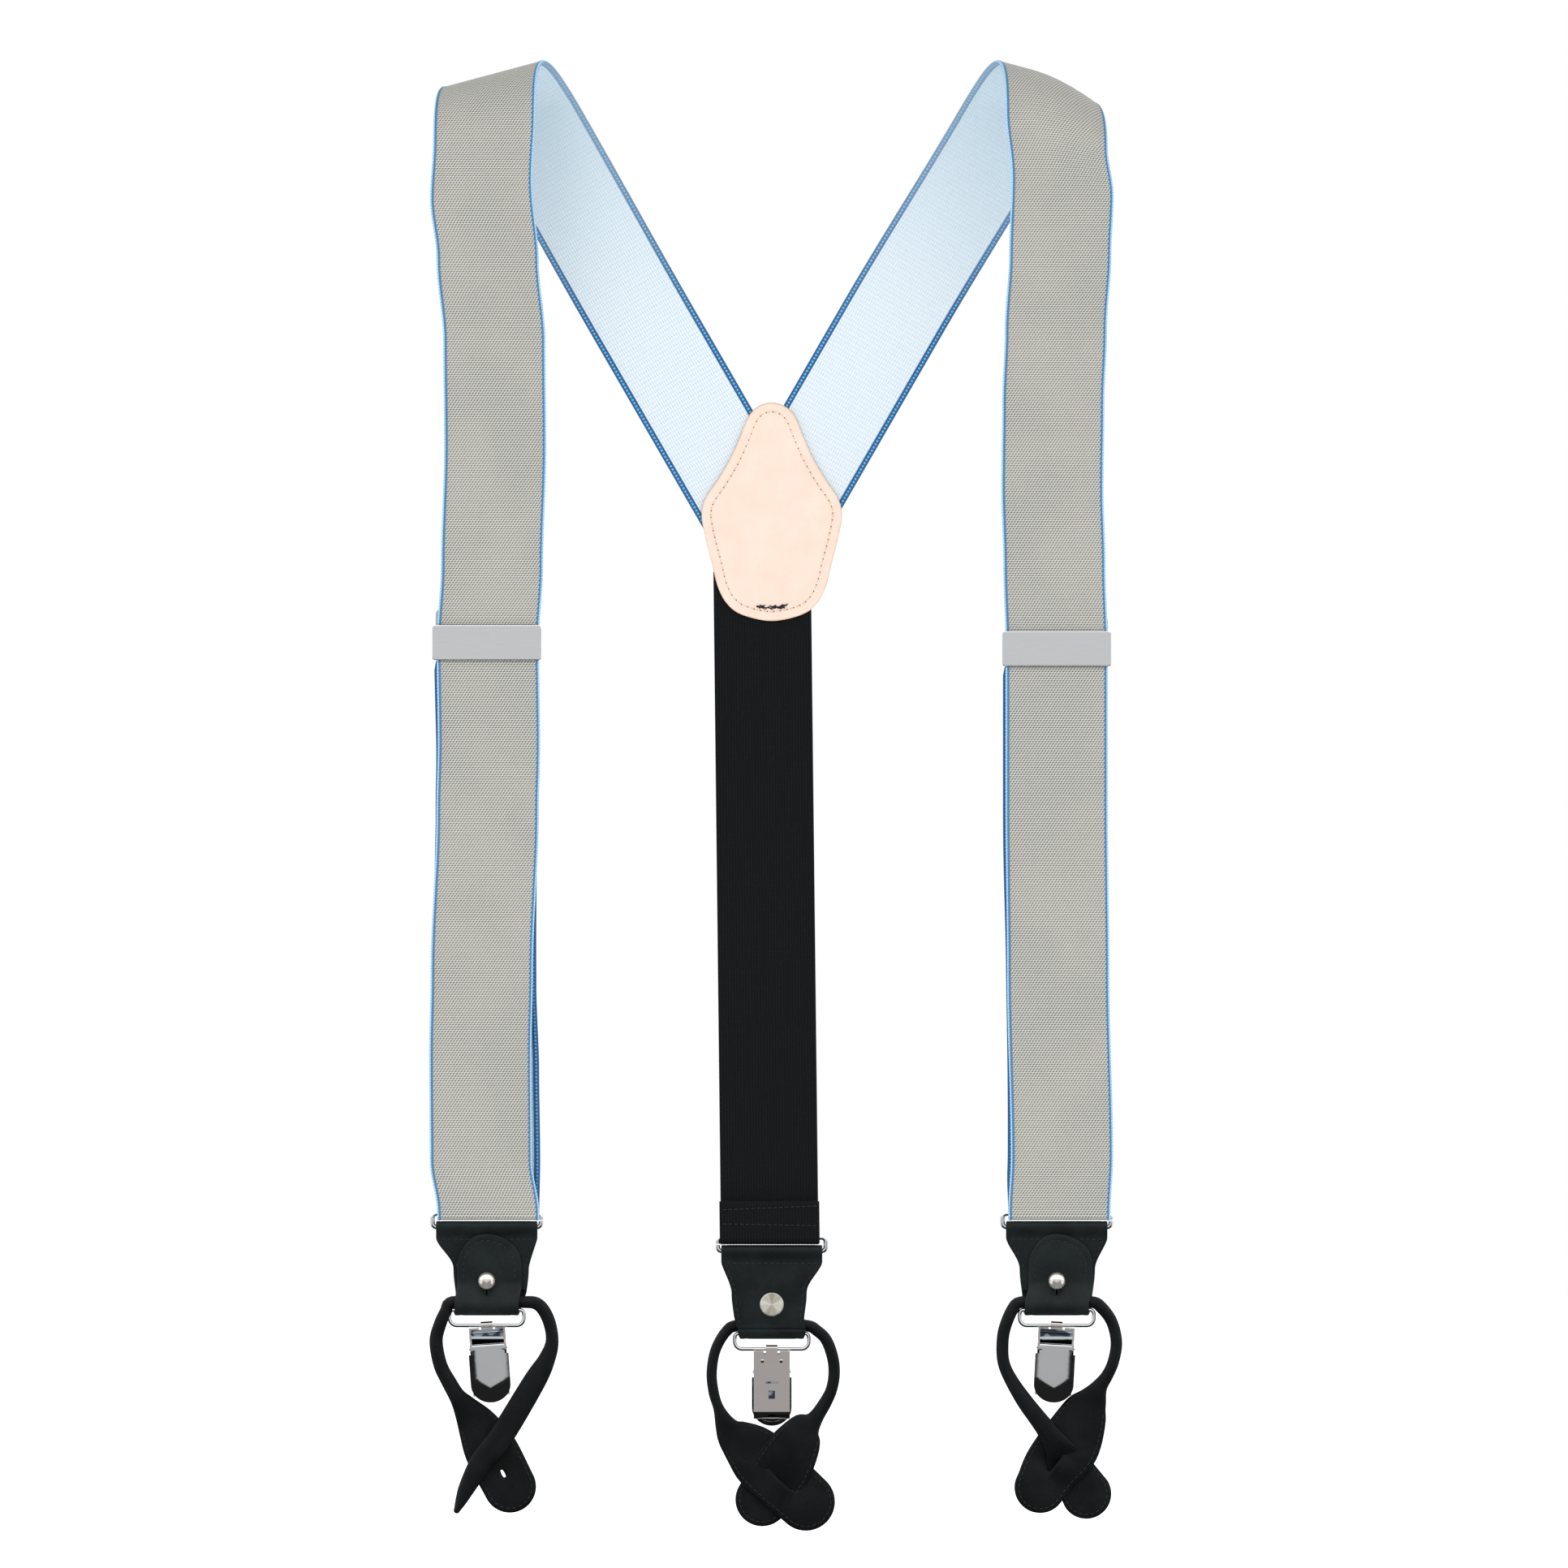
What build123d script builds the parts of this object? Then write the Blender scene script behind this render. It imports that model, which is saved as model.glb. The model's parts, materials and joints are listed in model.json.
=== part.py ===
from build123d import *
from math import atan2, cos, degrees, hypot, pi, radians, sin, sqrt, tan
import os

# Convertible Y-back suspenders, hanging over the shoulders with the inside of the back
# strap and the outside of the front straps facing -Y.  Millimetres, +X right, +Y away, +Z up.
# Origin: centre of the inner face of the leather back patch.
# left and right are as seen looking along +Y.

# ---- driving dimensions -------------------------------------------------------------
WEB_WIDTH = 35.0            # front webbing
WEB_THICK = 1.5
ELASTIC_WIDTH = 34.0        # rear elastic
ELASTIC_THICK = 1.6
LEATHER_THICK = 1.2
PATCH_THICK = 1.15
LAYER_GAP = 0.05            # between layers that are sewn or gripped together

FRONT_X = 97.5              # centre line of each front strap
REAR_ANGLE = 30.0           # rear runs from the vertical, towards the patch
REAR_LINE_X = 41.75         # centre line of a rear run at height REAR_LINE_Z
REAR_LINE_Z = 63.9
ARCH_HALF_DEPTH = 17.0      # the strap over the shoulder: half an ellipse
ARCH_HEIGHT = 18.0
ARCH_SECTIONS = 13

ADJUSTER_Z = {"left": -44.9, "right": -47.0}
FRONT_LOOP_Z = -240.3       # upper bar of each front loop
REAR_LOOP_Z = -248.9
LOOP_PITCH = 4.6            # upper bar to lower bar
LOOP_WIRE_R = 0.75
LOOP_WIDTH = 37.0           # between the side wires' centres

END_TOP_WIDTH = 34.7        # leather end at its loop
END_NECK_WIDTH = 23.2
END_HEIGHT = 32.2
FLAP_WIDTH = 22.0
FOLD_RADIUS = 2.1           # inside radius of the leather's bottom fold
STUD_DROP = 20.3            # stud below the top of the leather end
BALL_R = 2.9
STUD_POST_R = 1.5
STUD_SHANK_R = 1.0
CAP_R = 4.1

BAIL_WIRE_R = 0.65
BAIL_WIDTH = 25.4           # between the side wires' centres
BAIL_DROP = 5.3             # upper bar to lower bar
CORD_R = 2.0
TAB_WIDTH = 19.0
TAB_THICK = 2.1
EYE_R = 2.2                 # button eye of each tab
EYE_SLIT = (1.0, 18.0)      # width and length of the slit above the eye

CLIP_WIDTH = 12.4
CLIP_SHEET = 0.6
CLIP_TILT = {"left": -4.0, "right": 3.0, "rear": 0.0}
LEVER_WIDTH = 13.6
RUN_CLEAR = 0.05            # running clearance on a radius

# ---- derived planes and places ------------------------------------------------------
REAR_WEB_Y = PATCH_THICK + LAYER_GAP                   # inner face of the rear runs
REAR_MID_Y = REAR_WEB_Y + WEB_THICK / 2
FRONT_MID_Y = REAR_MID_Y - 2 * ARCH_HALF_DEPTH         # middle of the front webbing layer
FRONT_FACE_Y = FRONT_MID_Y - WEB_THICK / 2
BEND_R = LOOP_WIRE_R + LAYER_GAP                       # inside radius of a fold round a loop
FRONT_LOOP_Y = FRONT_MID_Y + WEB_THICK / 2 + BEND_R
REAR_LOOP_Y = REAR_WEB_Y - BEND_R
RETURN_Y = FRONT_LOOP_Y + BEND_R + WEB_THICK / 2       # middle of the returning layer
FRAME_BAR_R = 0.7

RULING = REAR_ANGLE / 2                                # tilt of the fold line at the shoulder
ARCH_LENGTH = pi * sqrt((ARCH_HALF_DEPTH**2 + ARCH_HEIGHT**2) / 2)

LEATHER_TOP = LOOP_WIRE_R + LAYER_GAP + LEATHER_THICK  # above the loop's lower bar
LEATHER_BOTTOM = LEATHER_TOP - END_HEIGHT
FOLD_Y = -FOLD_RADIUS
FOLD_Z = LEATHER_BOTTOM + LEATHER_THICK + FOLD_RADIUS
STUD_Z = LEATHER_TOP - STUD_DROP
BAIL_Z = LEATHER_BOTTOM + LEATHER_THICK + LAYER_GAP + BAIL_WIRE_R
CORD_Z = BAIL_Z + BAIL_WIRE_R + LAYER_GAP + CORD_R
CLIP_Z = BAIL_Z - BAIL_DROP
FLAP_BACK_Y = -LEATHER_THICK - 0.1                     # flap's inner face, where it lies flat

# clip, measured from the bail's lower wire
HOOK_R = BAIL_WIRE_R + 0.2
PLATE_Y = HOOK_R
PIN_R = 0.6
PIN_Y = -2.7
PIN_Z = -7.6
TRUNNION_R = 0.5
TRUNNION_Y = -0.18
TRUNNION_Z = -2.4
CLIP_INSIDE = CLIP_WIDTH - 2 * CLIP_SHEET

# adjuster, measured from its own centre height
FRAME_WIDTH = 37.2
FRAME_HEIGHT = 12.0
FRAME_SHEET = 0.8
FRAME_FACE_Y = FRONT_FACE_Y - 0.35 - FRAME_SHEET
FRAME_BACK_Y = RETURN_Y + 2.3
FRAME_BAR_Z = -3.2
LEVER_PIN_Y = FRONT_MID_Y + WEB_THICK / 2 + 1.95
LEVER_PIN_Z = 2.9

FRONT_SIDES = {"left": -1, "right": 1}


# ---- helpers ------------------------------------------------------------------------
def plate(outline, y_front, thick):
    """An outline drawn as (x, z), made into a plate from y_front backwards."""
    return Pos(0, y_front + thick, 0) * Rot(90, 0, 0) * extrude(outline, thick)


def across(profile, width):
    """A profile drawn as (y, z), run across the full width along X."""
    return extrude(Plane.YZ * profile, width / 2, both=True)


def strip(y_low, z_low, y_high, z_high):
    """A rectangle between two corners, for the helpers above."""
    return Pos((y_low + y_high) / 2, (z_low + z_high) / 2) * Rectangle(y_high - y_low, z_high - z_low)


def ring(y, z, r_in, r_out):
    return Pos(y, z) * (Circle(r_out) - Circle(r_in))


def rod(r, x_low, x_high, y=0, z=0):
    return Pos((x_low + x_high) / 2, y, z) * Rot(0, 90, 0) * Cylinder(r, x_high - x_low)


def pipe(path, r):
    return sweep(Plane(origin=path @ 0, z_dir=path % 0) * Circle(r), path=path)


def smooth_outline(half):
    """A closed outline, symmetrical about x = 0, through points of its right half."""
    mirrored = [(-x, z) for x, z in reversed(half[1:-1])]
    return make_face(Spline(*half, *mirrored, periodic=True))


# ---- harness: patch, shoulder straps, rear elastic ----------------------------------
PATCH_HALF = [
    (0, 37.6), (4.2, 36.5), (6.9, 34.3), (8.6, 31.5), (11.0, 25.5), (14.4, 18.0), (18.7, 10.8),
    (22.7, 4.8), (24.1, -1.0), (22.6, -9.6), (20.4, -18.1), (18.6, -25.4), (15.6, -31.2),
    (10.4, -35.2), (0, -37.4),
]
STRAP_END_Z = -19.0         # the straps' ends, sewn in under the patch
ELASTIC_TOP_Z = -20.5
ELASTIC_FOLD_TOP_Z = -236.0
FOLD_SPREAD = 0.8           # the folded end is a little wider than the elastic


def patch_layer(y_front):
    return plate(smooth_outline(PATCH_HALF), y_front, PATCH_THICK)


def shoulder_strap(side):
    """One flat strip: up the front, over the shoulder and down to the patch.

    Over the shoulder it bends about straight rulings that rise by RULING towards the middle,
    so the strip stays flat webbing and leaves at REAR_ANGLE from the vertical."""
    ruling = Vector(cos(radians(RULING)), 0, -sin(radians(RULING)))
    rise = Vector(sin(radians(RULING)), 0, cos(radians(RULING)))
    drift = ARCH_LENGTH * tan(radians(RULING))
    end_x = FRONT_X - drift * ruling.X
    end_z = REAR_LINE_Z + (end_x - REAR_LINE_X) / tan(radians(REAR_ANGLE))
    base = Vector(FRONT_X, REAR_MID_Y - ARCH_HALF_DEPTH, end_z + drift * ruling.Z)
    cut = Rectangle(WEB_WIDTH / cos(radians(RULING)), WEB_THICK)

    sections = []
    for step in range(ARCH_SECTIONS):
        turn = pi * step / (ARCH_SECTIONS - 1)
        back = Vector(0, -ARCH_HALF_DEPTH * cos(turn), 0)
        place = base + back + rise * (ARCH_HEIGHT * sin(turn)) - ruling * (drift * turn / pi)
        forward = Vector(0, ARCH_HALF_DEPTH * sin(turn), 0) + rise * (ARCH_HEIGHT * cos(turn))
        sections.append(Plane(origin=place, x_dir=ruling, z_dir=forward) * cut)
    arch = loft(sections)

    front_end = ADJUSTER_Z[side] - 5.0
    front = extrude(sections[0], base.Z - front_end + 10, dir=(0, 0, -1))
    below = Box(2 * WEB_WIDTH, 10, 30, align=(Align.CENTER, Align.CENTER, Align.MAX))
    front -= Pos(FRONT_X, FRONT_MID_Y, front_end) * below
    rear_dir = (-sin(radians(REAR_ANGLE)), 0, -cos(radians(REAR_ANGLE)))
    rear = extrude(sections[-1], 1.2 * end_z / cos(radians(REAR_ANGLE)) + 40, dir=rear_dir)
    keep = Pos(2 * LAYER_GAP, REAR_MID_Y, STRAP_END_Z) * Box(
        2 * FRONT_X, 10, 400, align=(Align.MIN, Align.CENTER, Align.MIN)
    )
    strap = arch + front + (rear & keep)
    return strap if side == "right" else mirror(strap, Plane.YZ)


def rear_elastic():
    """Flat elastic from the patch to the rear loop, folded forward round its bar and sewn."""
    back_y = REAR_LOOP_Y + BEND_R
    fold_y = REAR_LOOP_Y - BEND_R - ELASTIC_THICK
    run = across(strip(back_y, REAR_LOOP_Z, back_y + ELASTIC_THICK, ELASTIC_TOP_Z), ELASTIC_WIDTH)
    bend = ring(REAR_LOOP_Y, REAR_LOOP_Z, BEND_R, BEND_R + ELASTIC_THICK)
    bend &= strip(fold_y, REAR_LOOP_Z - 10, back_y + 10, REAR_LOOP_Z)
    turned = bend + strip(fold_y, REAR_LOOP_Z, fold_y + ELASTIC_THICK, ELASTIC_FOLD_TOP_Z)
    return run + across(turned, ELASTIC_WIDTH + FOLD_SPREAD)


# ---- front straps below the adjusters -----------------------------------------------
def lower_strap(side):
    """The doubled run: down to the loop, round its bar and back up to the adjuster's bar."""
    top = ADJUSTER_Z[side]
    bar = top + FRAME_BAR_Z
    half = WEB_THICK / 2
    front = strip(FRONT_MID_Y - half, FRONT_LOOP_Z, FRONT_MID_Y + half, top - 5.2)
    back = strip(RETURN_Y - half, FRONT_LOOP_Z, RETURN_Y + half, bar - FRAME_BAR_R - half)
    bend = ring(FRONT_LOOP_Y, FRONT_LOOP_Z, BEND_R, BEND_R + WEB_THICK)
    bend &= strip(FRONT_LOOP_Y - 10, FRONT_LOOP_Z - 10, FRONT_LOOP_Y + 10, FRONT_LOOP_Z)
    inside = FRAME_BAR_R + LAYER_GAP
    eye = ring(RETURN_Y, bar, inside, inside + WEB_THICK)
    return Pos(FRONT_SIDES[side] * FRONT_X, 0, 0) * across(front + back + bend + eye, WEB_WIDTH)


# ---- adjusters ----------------------------------------------------------------------
def adjuster_frame():
    """Front plate, two ears folded back and the bar that holds the strap's end."""
    face = plate(RectangleRounded(FRAME_WIDTH, FRAME_HEIGHT, 0.9), FRAME_FACE_Y, FRAME_SHEET)
    face = fillet(face.faces().sort_by(Axis.Y)[0].edges(), 0.35)
    ear_depth = FRAME_BACK_Y - FRAME_FACE_Y - FRAME_SHEET / 2
    ear = Pos(0, FRAME_BACK_Y - ear_depth / 2, 0) * Box(FRAME_SHEET, ear_depth, 9.6)
    ear = fillet(ear.edges().filter_by(Axis.X).group_by(Axis.Y)[-1], 2.2)
    reach = (FRAME_WIDTH - FRAME_SHEET) / 2
    frame = face + Pos(-reach, 0, 0) * ear + Pos(reach, 0, 0) * ear
    frame += rod(FRAME_BAR_R, -reach, reach, RETURN_Y, FRAME_BAR_Z)
    return frame - rod(PIN_R + RUN_CLEAR, -FRAME_WIDTH, FRAME_WIDTH, LEVER_PIN_Y, LEVER_PIN_Z)


def adjuster_lever():
    """Cam lever behind the front webbing: a toothed barrel and a tail that lies flat."""
    width = FRAME_WIDTH - 2 * FRAME_SHEET - 0.6
    barrel = Pos(LEVER_PIN_Y, LEVER_PIN_Z) * Circle(1.4)
    tail = strip(LEVER_PIN_Y + 0.6, LEVER_PIN_Z, LEVER_PIN_Y + 1.4, LEVER_PIN_Z + 8.6)
    lever = across(barrel + tail, width)
    pitch = 2.4
    count = int(width / pitch)
    for tooth in range(count):
        x = (tooth - (count - 1) / 2) * pitch
        point = Pos(x, LEVER_PIN_Y - 1.1, LEVER_PIN_Z) * Rot(90, 0, 0) * Cone(0.7, 0.15, 1.2)
        lever += point
    lever = fillet(lever.edges().filter_by(Axis.Y).group_by(Axis.Z)[-1], 2.0)
    return lever - rod(PIN_R + RUN_CLEAR, -width, width, LEVER_PIN_Y, LEVER_PIN_Z)


def adjuster_pin():
    reach = FRAME_WIDTH / 2
    return rod(PIN_R, -reach, reach, LEVER_PIN_Y, LEVER_PIN_Z)


# ---- loop and leather end, measured from the loop's lower bar -----------------------
def strap_loop():
    """Bent wire rectangle; its two ends meet in one side with a small gap."""
    half = LOOP_WIDTH / 2
    gap = 0.2
    middle = LOOP_PITCH / 2
    corners = [
        (half, 0, middle + gap), (half, 0, LOOP_PITCH), (-half, 0, LOOP_PITCH),
        (-half, 0, 0), (half, 0, 0), (half, 0, middle - gap),
    ]
    return pipe(FilletPolyline(*corners, radius=1.4), LOOP_WIRE_R)


def end_outline():
    """Wide at the loop, drawn in to a neck and straight down to the fold."""
    top = END_TOP_WIDTH / 2
    neck = END_NECK_WIDTH / 2
    side = Line((top, 0), (top, -4.5)) + Spline(
        (top, -4.5), (neck, -14.5), tangents=[(-0.25, -1), (0, -1)]
    )
    side += Line((neck, -14.5), (neck, FOLD_Z))
    base = Line((neck, FOLD_Z), (-neck, FOLD_Z))
    head = Line((-top, 0), (top, 0))
    edges = [*side.edges(), *mirror(side, Plane.YZ).edges(), *base.edges(), *head.edges()]
    return make_face(Wire(edges))


def leather_end():
    """Leather turned over the loop's bar and sewn double, single again below the stud."""
    roll = across(ring(0, 0, LEATHER_TOP - LEATHER_THICK, LEATHER_TOP), END_TOP_WIDTH)
    panel = plate(end_outline(), -LEATHER_THICK, 2 * LEATHER_THICK)
    panel -= rod(LEATHER_TOP - LEATHER_THICK, -END_TOP_WIDTH, END_TOP_WIDTH)
    single_z = STUD_Z - 3.7
    panel -= Pos(0, -LEATHER_THICK / 2, (single_z + FOLD_Z) / 2) * Box(
        2 * END_NECK_WIDTH, LEATHER_THICK, single_z - FOLD_Z
    )
    return roll + panel - stud_hole(STUD_POST_R + LAYER_GAP)


def stud_hole(r):
    return Pos(0, 0, STUD_Z) * Rot(90, 0, 0) * Cylinder(r, 20)


def leather_flap():
    """Tongue from the bottom fold up over the front, with a keyhole for the ball stud."""
    front = FOLD_Y - FOLD_RADIUS - LEATHER_THICK
    flat_front = FLAP_BACK_Y - LEATHER_THICK
    bend_z = FOLD_Z + 1.9
    flat_z = STUD_Z - 2.2
    side = Polyline(
        (front, FOLD_Z), (front, bend_z), (flat_front, flat_z), (flat_front, 0), (FLAP_BACK_Y, 0),
        (FLAP_BACK_Y, flat_z), (front + LEATHER_THICK, bend_z), (front + LEATHER_THICK, FOLD_Z),
        close=True,
    )
    turn = ring(FOLD_Y, FOLD_Z, FOLD_RADIUS, FOLD_RADIUS + LEATHER_THICK)
    turn &= strip(FOLD_Y - 10, FOLD_Z - 10, FOLD_Y, FOLD_Z)
    body = across(make_face(side) + turn, FLAP_WIDTH)
    top = LEATHER_TOP - 4.3
    half = FLAP_WIDTH / 2
    tongue = Pos(0, top - half) * Circle(half) + strip(-half, LEATHER_BOTTOM - 5, half, top - half)
    body &= plate(tongue, -10, 10)
    slit = Pos(0, 0, STUD_Z - 3.2) * Box(0.7, 20, 3.4)
    return body - stud_hole(STUD_POST_R + 0.2) - slit


def ball_stud():
    """Ball head, neck and the shank that screws into the cap's post."""
    neck_back = -LEATHER_THICK - LAYER_GAP
    ball_y = FLAP_BACK_Y - LEATHER_THICK - 0.3 - BALL_R * 0.88
    to_y = Rot(-90, 0, 0)
    ball = Pos(0, ball_y, STUD_Z) * Sphere(BALL_R)
    low = (Align.CENTER, Align.CENTER, Align.MIN)
    neck = Pos(0, ball_y, STUD_Z) * to_y * Cylinder(STUD_POST_R, neck_back - ball_y, align=low)
    shank = Pos(0, neck_back, STUD_Z) * to_y * Cylinder(STUD_SHANK_R, 2.2, align=low)
    return ball + neck + shank


def stud_cap():
    """Round cap behind the leather, with the hollow post that goes through it."""
    low = (Align.CENTER, Align.CENTER, Align.MIN)
    to_y = Rot(-90, 0, 0)
    back = LEATHER_THICK + LAYER_GAP
    cap = Pos(0, back, STUD_Z) * to_y * Cylinder(CAP_R, 0.7, align=low)
    cap = fillet(cap.edges().filter_by(GeomType.CIRCLE).sort_by(Axis.Y)[-1], 0.45)
    from_front = Pos(0, -LEATHER_THICK, STUD_Z) * to_y
    post = from_front * Cylinder(STUD_POST_R, back + LEATHER_THICK + 0.1, align=low)
    bore = from_front * Cylinder(STUD_SHANK_R + RUN_CLEAR, 2.4, align=low)
    return cap + post - bore


def clip_bail():
    """Wide shallow wire bail; its ends meet inside the leather fold."""
    half = BAIL_WIDTH / 2
    gap = 0.3
    top = FilletPolyline((gap, 0, 0), (half, 0, 0), (half, 0, -BAIL_DROP / 2), radius=1.4)
    corner = FilletPolyline((half, 0, -BAIL_DROP / 2), (half, 0, -BAIL_DROP), (0, 0, -BAIL_DROP), radius=2.5)
    right = Wire([*top.edges(), *corner.edges()])
    wire = pipe(right, BAIL_WIRE_R)
    return Pos(0, FOLD_Y, BAIL_Z) * (wire + mirror(wire, Plane.YZ))


# ---- clip, measured from the bail's lower wire --------------------------------------
TOE_R = 3.0
TOE_Z = -21.0
WINDOW_Z = -15.7
LOUVRE_Z = -11.5
DIMPLE_X = 3.2
DIMPLE_Z = -4.0
HOOK_WIDTH = 4.0


def clip_body():
    """Back plate hooked over the bail, with two ears, a curled toe and pressed details."""
    top = -0.7
    inside_y = PLATE_Y
    outside_y = PLATE_Y + CLIP_SHEET
    toe = ring(outside_y - TOE_R, TOE_Z, TOE_R - CLIP_SHEET, TOE_R)
    toe &= strip(outside_y - TOE_R, TOE_Z - 5, outside_y, TOE_Z)
    body = across(strip(inside_y, TOE_Z, outside_y, top) + toe, CLIP_WIDTH)
    hook = ring(0, 0, HOOK_R, HOOK_R + CLIP_SHEET) & strip(-2, -0.3, 2, 2)
    body += across(hook + strip(inside_y, top, outside_y, 0), HOOK_WIDTH)
    for x in (-HOOK_WIDTH / 2 - 0.4, HOOK_WIDTH / 2 + 0.4):
        body -= Pos(x, inside_y, top) * Box(0.8, 3, 3.0)
    ear = make_face(Polyline(
        (outside_y, -1.4), (-1.0, -1.4), (-1.4, -5.2), (PIN_Y - 1.3, PIN_Z + 0.9),
        (PIN_Y - 1.3, PIN_Z - 0.8), (PIN_Y, PIN_Z - 1.5), (outside_y, PIN_Z - 3.0), close=True,
    ))
    for x in (-1, 1):
        body += Pos(x * (CLIP_WIDTH - CLIP_SHEET) / 2, 0, 0) * across(ear, CLIP_SHEET)
        body += Pos(x * DIMPLE_X, outside_y - 0.55, DIMPLE_Z) * Sphere(0.95)
        body -= Pos(x * DIMPLE_X, inside_y - 0.75, DIMPLE_Z) * Sphere(0.95)
    body -= Pos(0, outside_y, LOUVRE_Z) * Box(4.6, 3, 0.7)
    body -= Pos(0, outside_y, WINDOW_Z) * Box(2.2, 3, 2.8)
    body -= Pos(0, 0, TOE_Z - 1.9) * Box(2.6, 6, 0.7)
    body -= rod(PIN_R + LAYER_GAP, -CLIP_WIDTH, CLIP_WIDTH, PIN_Y, PIN_Z)
    return body - rod(TRUNNION_R + RUN_CLEAR, -CLIP_WIDTH, CLIP_WIDTH, TRUNNION_Y, TRUNNION_Z)


def clip_jaw():
    """Inner jaw on two trunnions, with teeth along its bottom edge."""
    width = CLIP_INSIDE - 0.2
    bottom = TOE_Z + 0.2
    jaw = across(strip(-0.45, bottom, 0.1, -1.35), width)
    count = 5
    pitch = width / count
    for tooth in range(count):
        x = (tooth - (count - 1) / 2) * pitch
        jaw += Pos(x, 0.3, bottom + 0.5) * Box(pitch * 0.55, 0.7, 1.0)
    reach = CLIP_WIDTH / 2
    return jaw + rod(TRUNNION_R, -reach, reach, TRUNNION_Y, TRUNNION_Z)


def clip_pin():
    reach = CLIP_WIDTH / 2 + 0.3
    return rod(PIN_R, -reach, reach, PIN_Y, PIN_Z)


def clip_lever():
    """Crowned tongue, rolled round the pin at its top and rounded back at its foot."""
    crown = 16.0
    sheet = 0.7
    front = PIN_Y - 1.9
    foot = -26.4
    knee = -18.0
    narrow = CLIP_INSIDE - 0.2
    outer = Line((crown, PIN_Z + 0.6), (crown, knee)) + Spline(
        (crown, knee), (crown - 2.6, foot), tangents=[(0, -1), (-0.75, -1)]
    )
    inner = Spline(
        (crown - 2.6 - sheet, foot), (crown - sheet, knee), tangents=[(0.75, 1), (0, 1)]
    ) + Line((crown - sheet, knee), (crown - sheet, PIN_Z + 0.6))
    ends = Line((crown - 2.6, foot), (crown - 2.6 - sheet, foot))
    ends += Line((crown - sheet, PIN_Z + 0.6), (crown, PIN_Z + 0.6))
    section = make_face(Wire([*outer.edges(), *inner.edges(), *ends.edges()]))
    shell = Pos(0, front + crown, 0) * Rot(0, 0, -90) * revolve(Plane.XZ * section, Axis.Z, 360)
    half = LEVER_WIDTH / 2
    shoulder = PIN_Z - 2.2
    tongue = strip(-narrow / 2, shoulder, narrow / 2, PIN_Z + 3)
    tongue += strip(-half, foot + 6.2, half, shoulder)
    tongue += Pos(0, foot + 6.2) * Ellipse(half, 6.2)
    shell &= plate(tongue, front - 1, 6)
    barrel = rod(1.45, -narrow / 2, narrow / 2, PIN_Y, PIN_Z)
    neck = Pos(0, PIN_Y - 1.2, PIN_Z) * Box(narrow, 0.8, 1.2)
    return shell + barrel + neck - rod(PIN_R + RUN_CLEAR, -9, 9, PIN_Y, PIN_Z)


# ---- button-tab runners, measured from the cord's middle in the fold ----------------
# (x, z) of the cord's widest point, its low point and the tab's root, then the tab's round
# end, for the left and the right half of each runner
RUNNER_SHAPE = {
    "left": {
        "left": [(-17.3, -15.3), (-15.6, -22.1), (-13.4, -30.3), (7.1, -62.8)],
        "right": [(22.7, -12.1), (20.3, -20.9), (16.3, -29.0), (-9.0, -63.0)],
    },
    "right": {
        "left": [(-18.6, -15.3), (-18.4, -20.5), (-15.5, -30.4), (9.1, -64.6)],
        "right": [(20.4, -13.7), (19.1, -19.7), (15.5, -29.0), (-5.0, -62.8)],
    },
    "rear": {
        "left": [(-20.6, -16.1), (-20.2, -23.0), (-17.0, -31.0), (12.1, -60.6)],
        "right": [(21.4, -15.4), (20.4, -21.5), (16.2, -29.8), (-2.4, -59.6)],
    },
}
CORD_EXIT = END_NECK_WIDTH / 2


def button_tab(root, end, y_front):
    """Flat tab: grows out of the cord, widens, and ends round with an eye and a slit."""
    turn = degrees(atan2(end[0] - root[0], root[1] - end[1]))
    length = hypot(end[0] - root[0], end[1] - root[1])
    half = TAB_WIDTH / 2
    full = -0.58 * length
    side = Spline((CORD_R, 2.0), (half, full), tangents=[(0.3, -1), (0, -1)])
    side += Line((half, full), (half, -length))
    edges = [*side.edges(), *mirror(side, Plane.YZ).edges()]
    edges += Line((-CORD_R, 2.0), (CORD_R, 2.0)).edges()
    edges += Line((-half, -length), (half, -length)).edges()
    shape = make_face(Wire(edges)) + Pos(0, -length) * Circle(half)
    shape -= Pos(0, -length) * Circle(EYE_R)
    shape -= Pos(0, -length + EYE_SLIT[1] / 2) * Rectangle(EYE_SLIT[0], EYE_SLIT[1])
    return plate(Pos(*root) * Rot(0, 0, turn) * shape, y_front, TAB_THICK)


def button_runner(end):
    """Rolled cord through the fold, with a flat button tab at each of its ends."""
    halves = RUNNER_SHAPE[end]
    paths = []
    for side, sign in FRONT_SIDES.items():
        wide, low, root, _ = halves[side]
        exit_point = (sign * CORD_EXIT, 0)
        points = [(x, 0, z) for x, z in (exit_point, wide, low, root)]
        leave = (sign, 0, 0)
        arrive = (root[0] - low[0], 0, root[1] - low[1])
        paths.append(Spline(*points, tangents=[leave, arrive]))
    through = rod(CORD_R, -CORD_EXIT, CORD_EXIT)
    runner = through + pipe(paths[0], CORD_R) + pipe(paths[1], CORD_R)
    for side, y_front in (("left", -TAB_THICK - 0.02), ("right", -0.02)):
        root, tip = halves[side][2:]
        runner += button_tab(root, tip, y_front)
    return runner


# ---- places of the three ends -------------------------------------------------------
def loop_bar(end):
    """The lower bar of one end's loop, with the end's own front towards -Y."""
    if end == "rear":
        return Pos(0, REAR_LOOP_Y, REAR_LOOP_Z - LOOP_PITCH) * Rot(0, 0, 180)
    return Pos(FRONT_SIDES[end] * FRONT_X, FRONT_LOOP_Y, FRONT_LOOP_Z - LOOP_PITCH)


def clip_place(end):
    return loop_bar(end) * Pos(0, FOLD_Y, CLIP_Z) * Rot(0, CLIP_TILT[end], 0)


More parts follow.
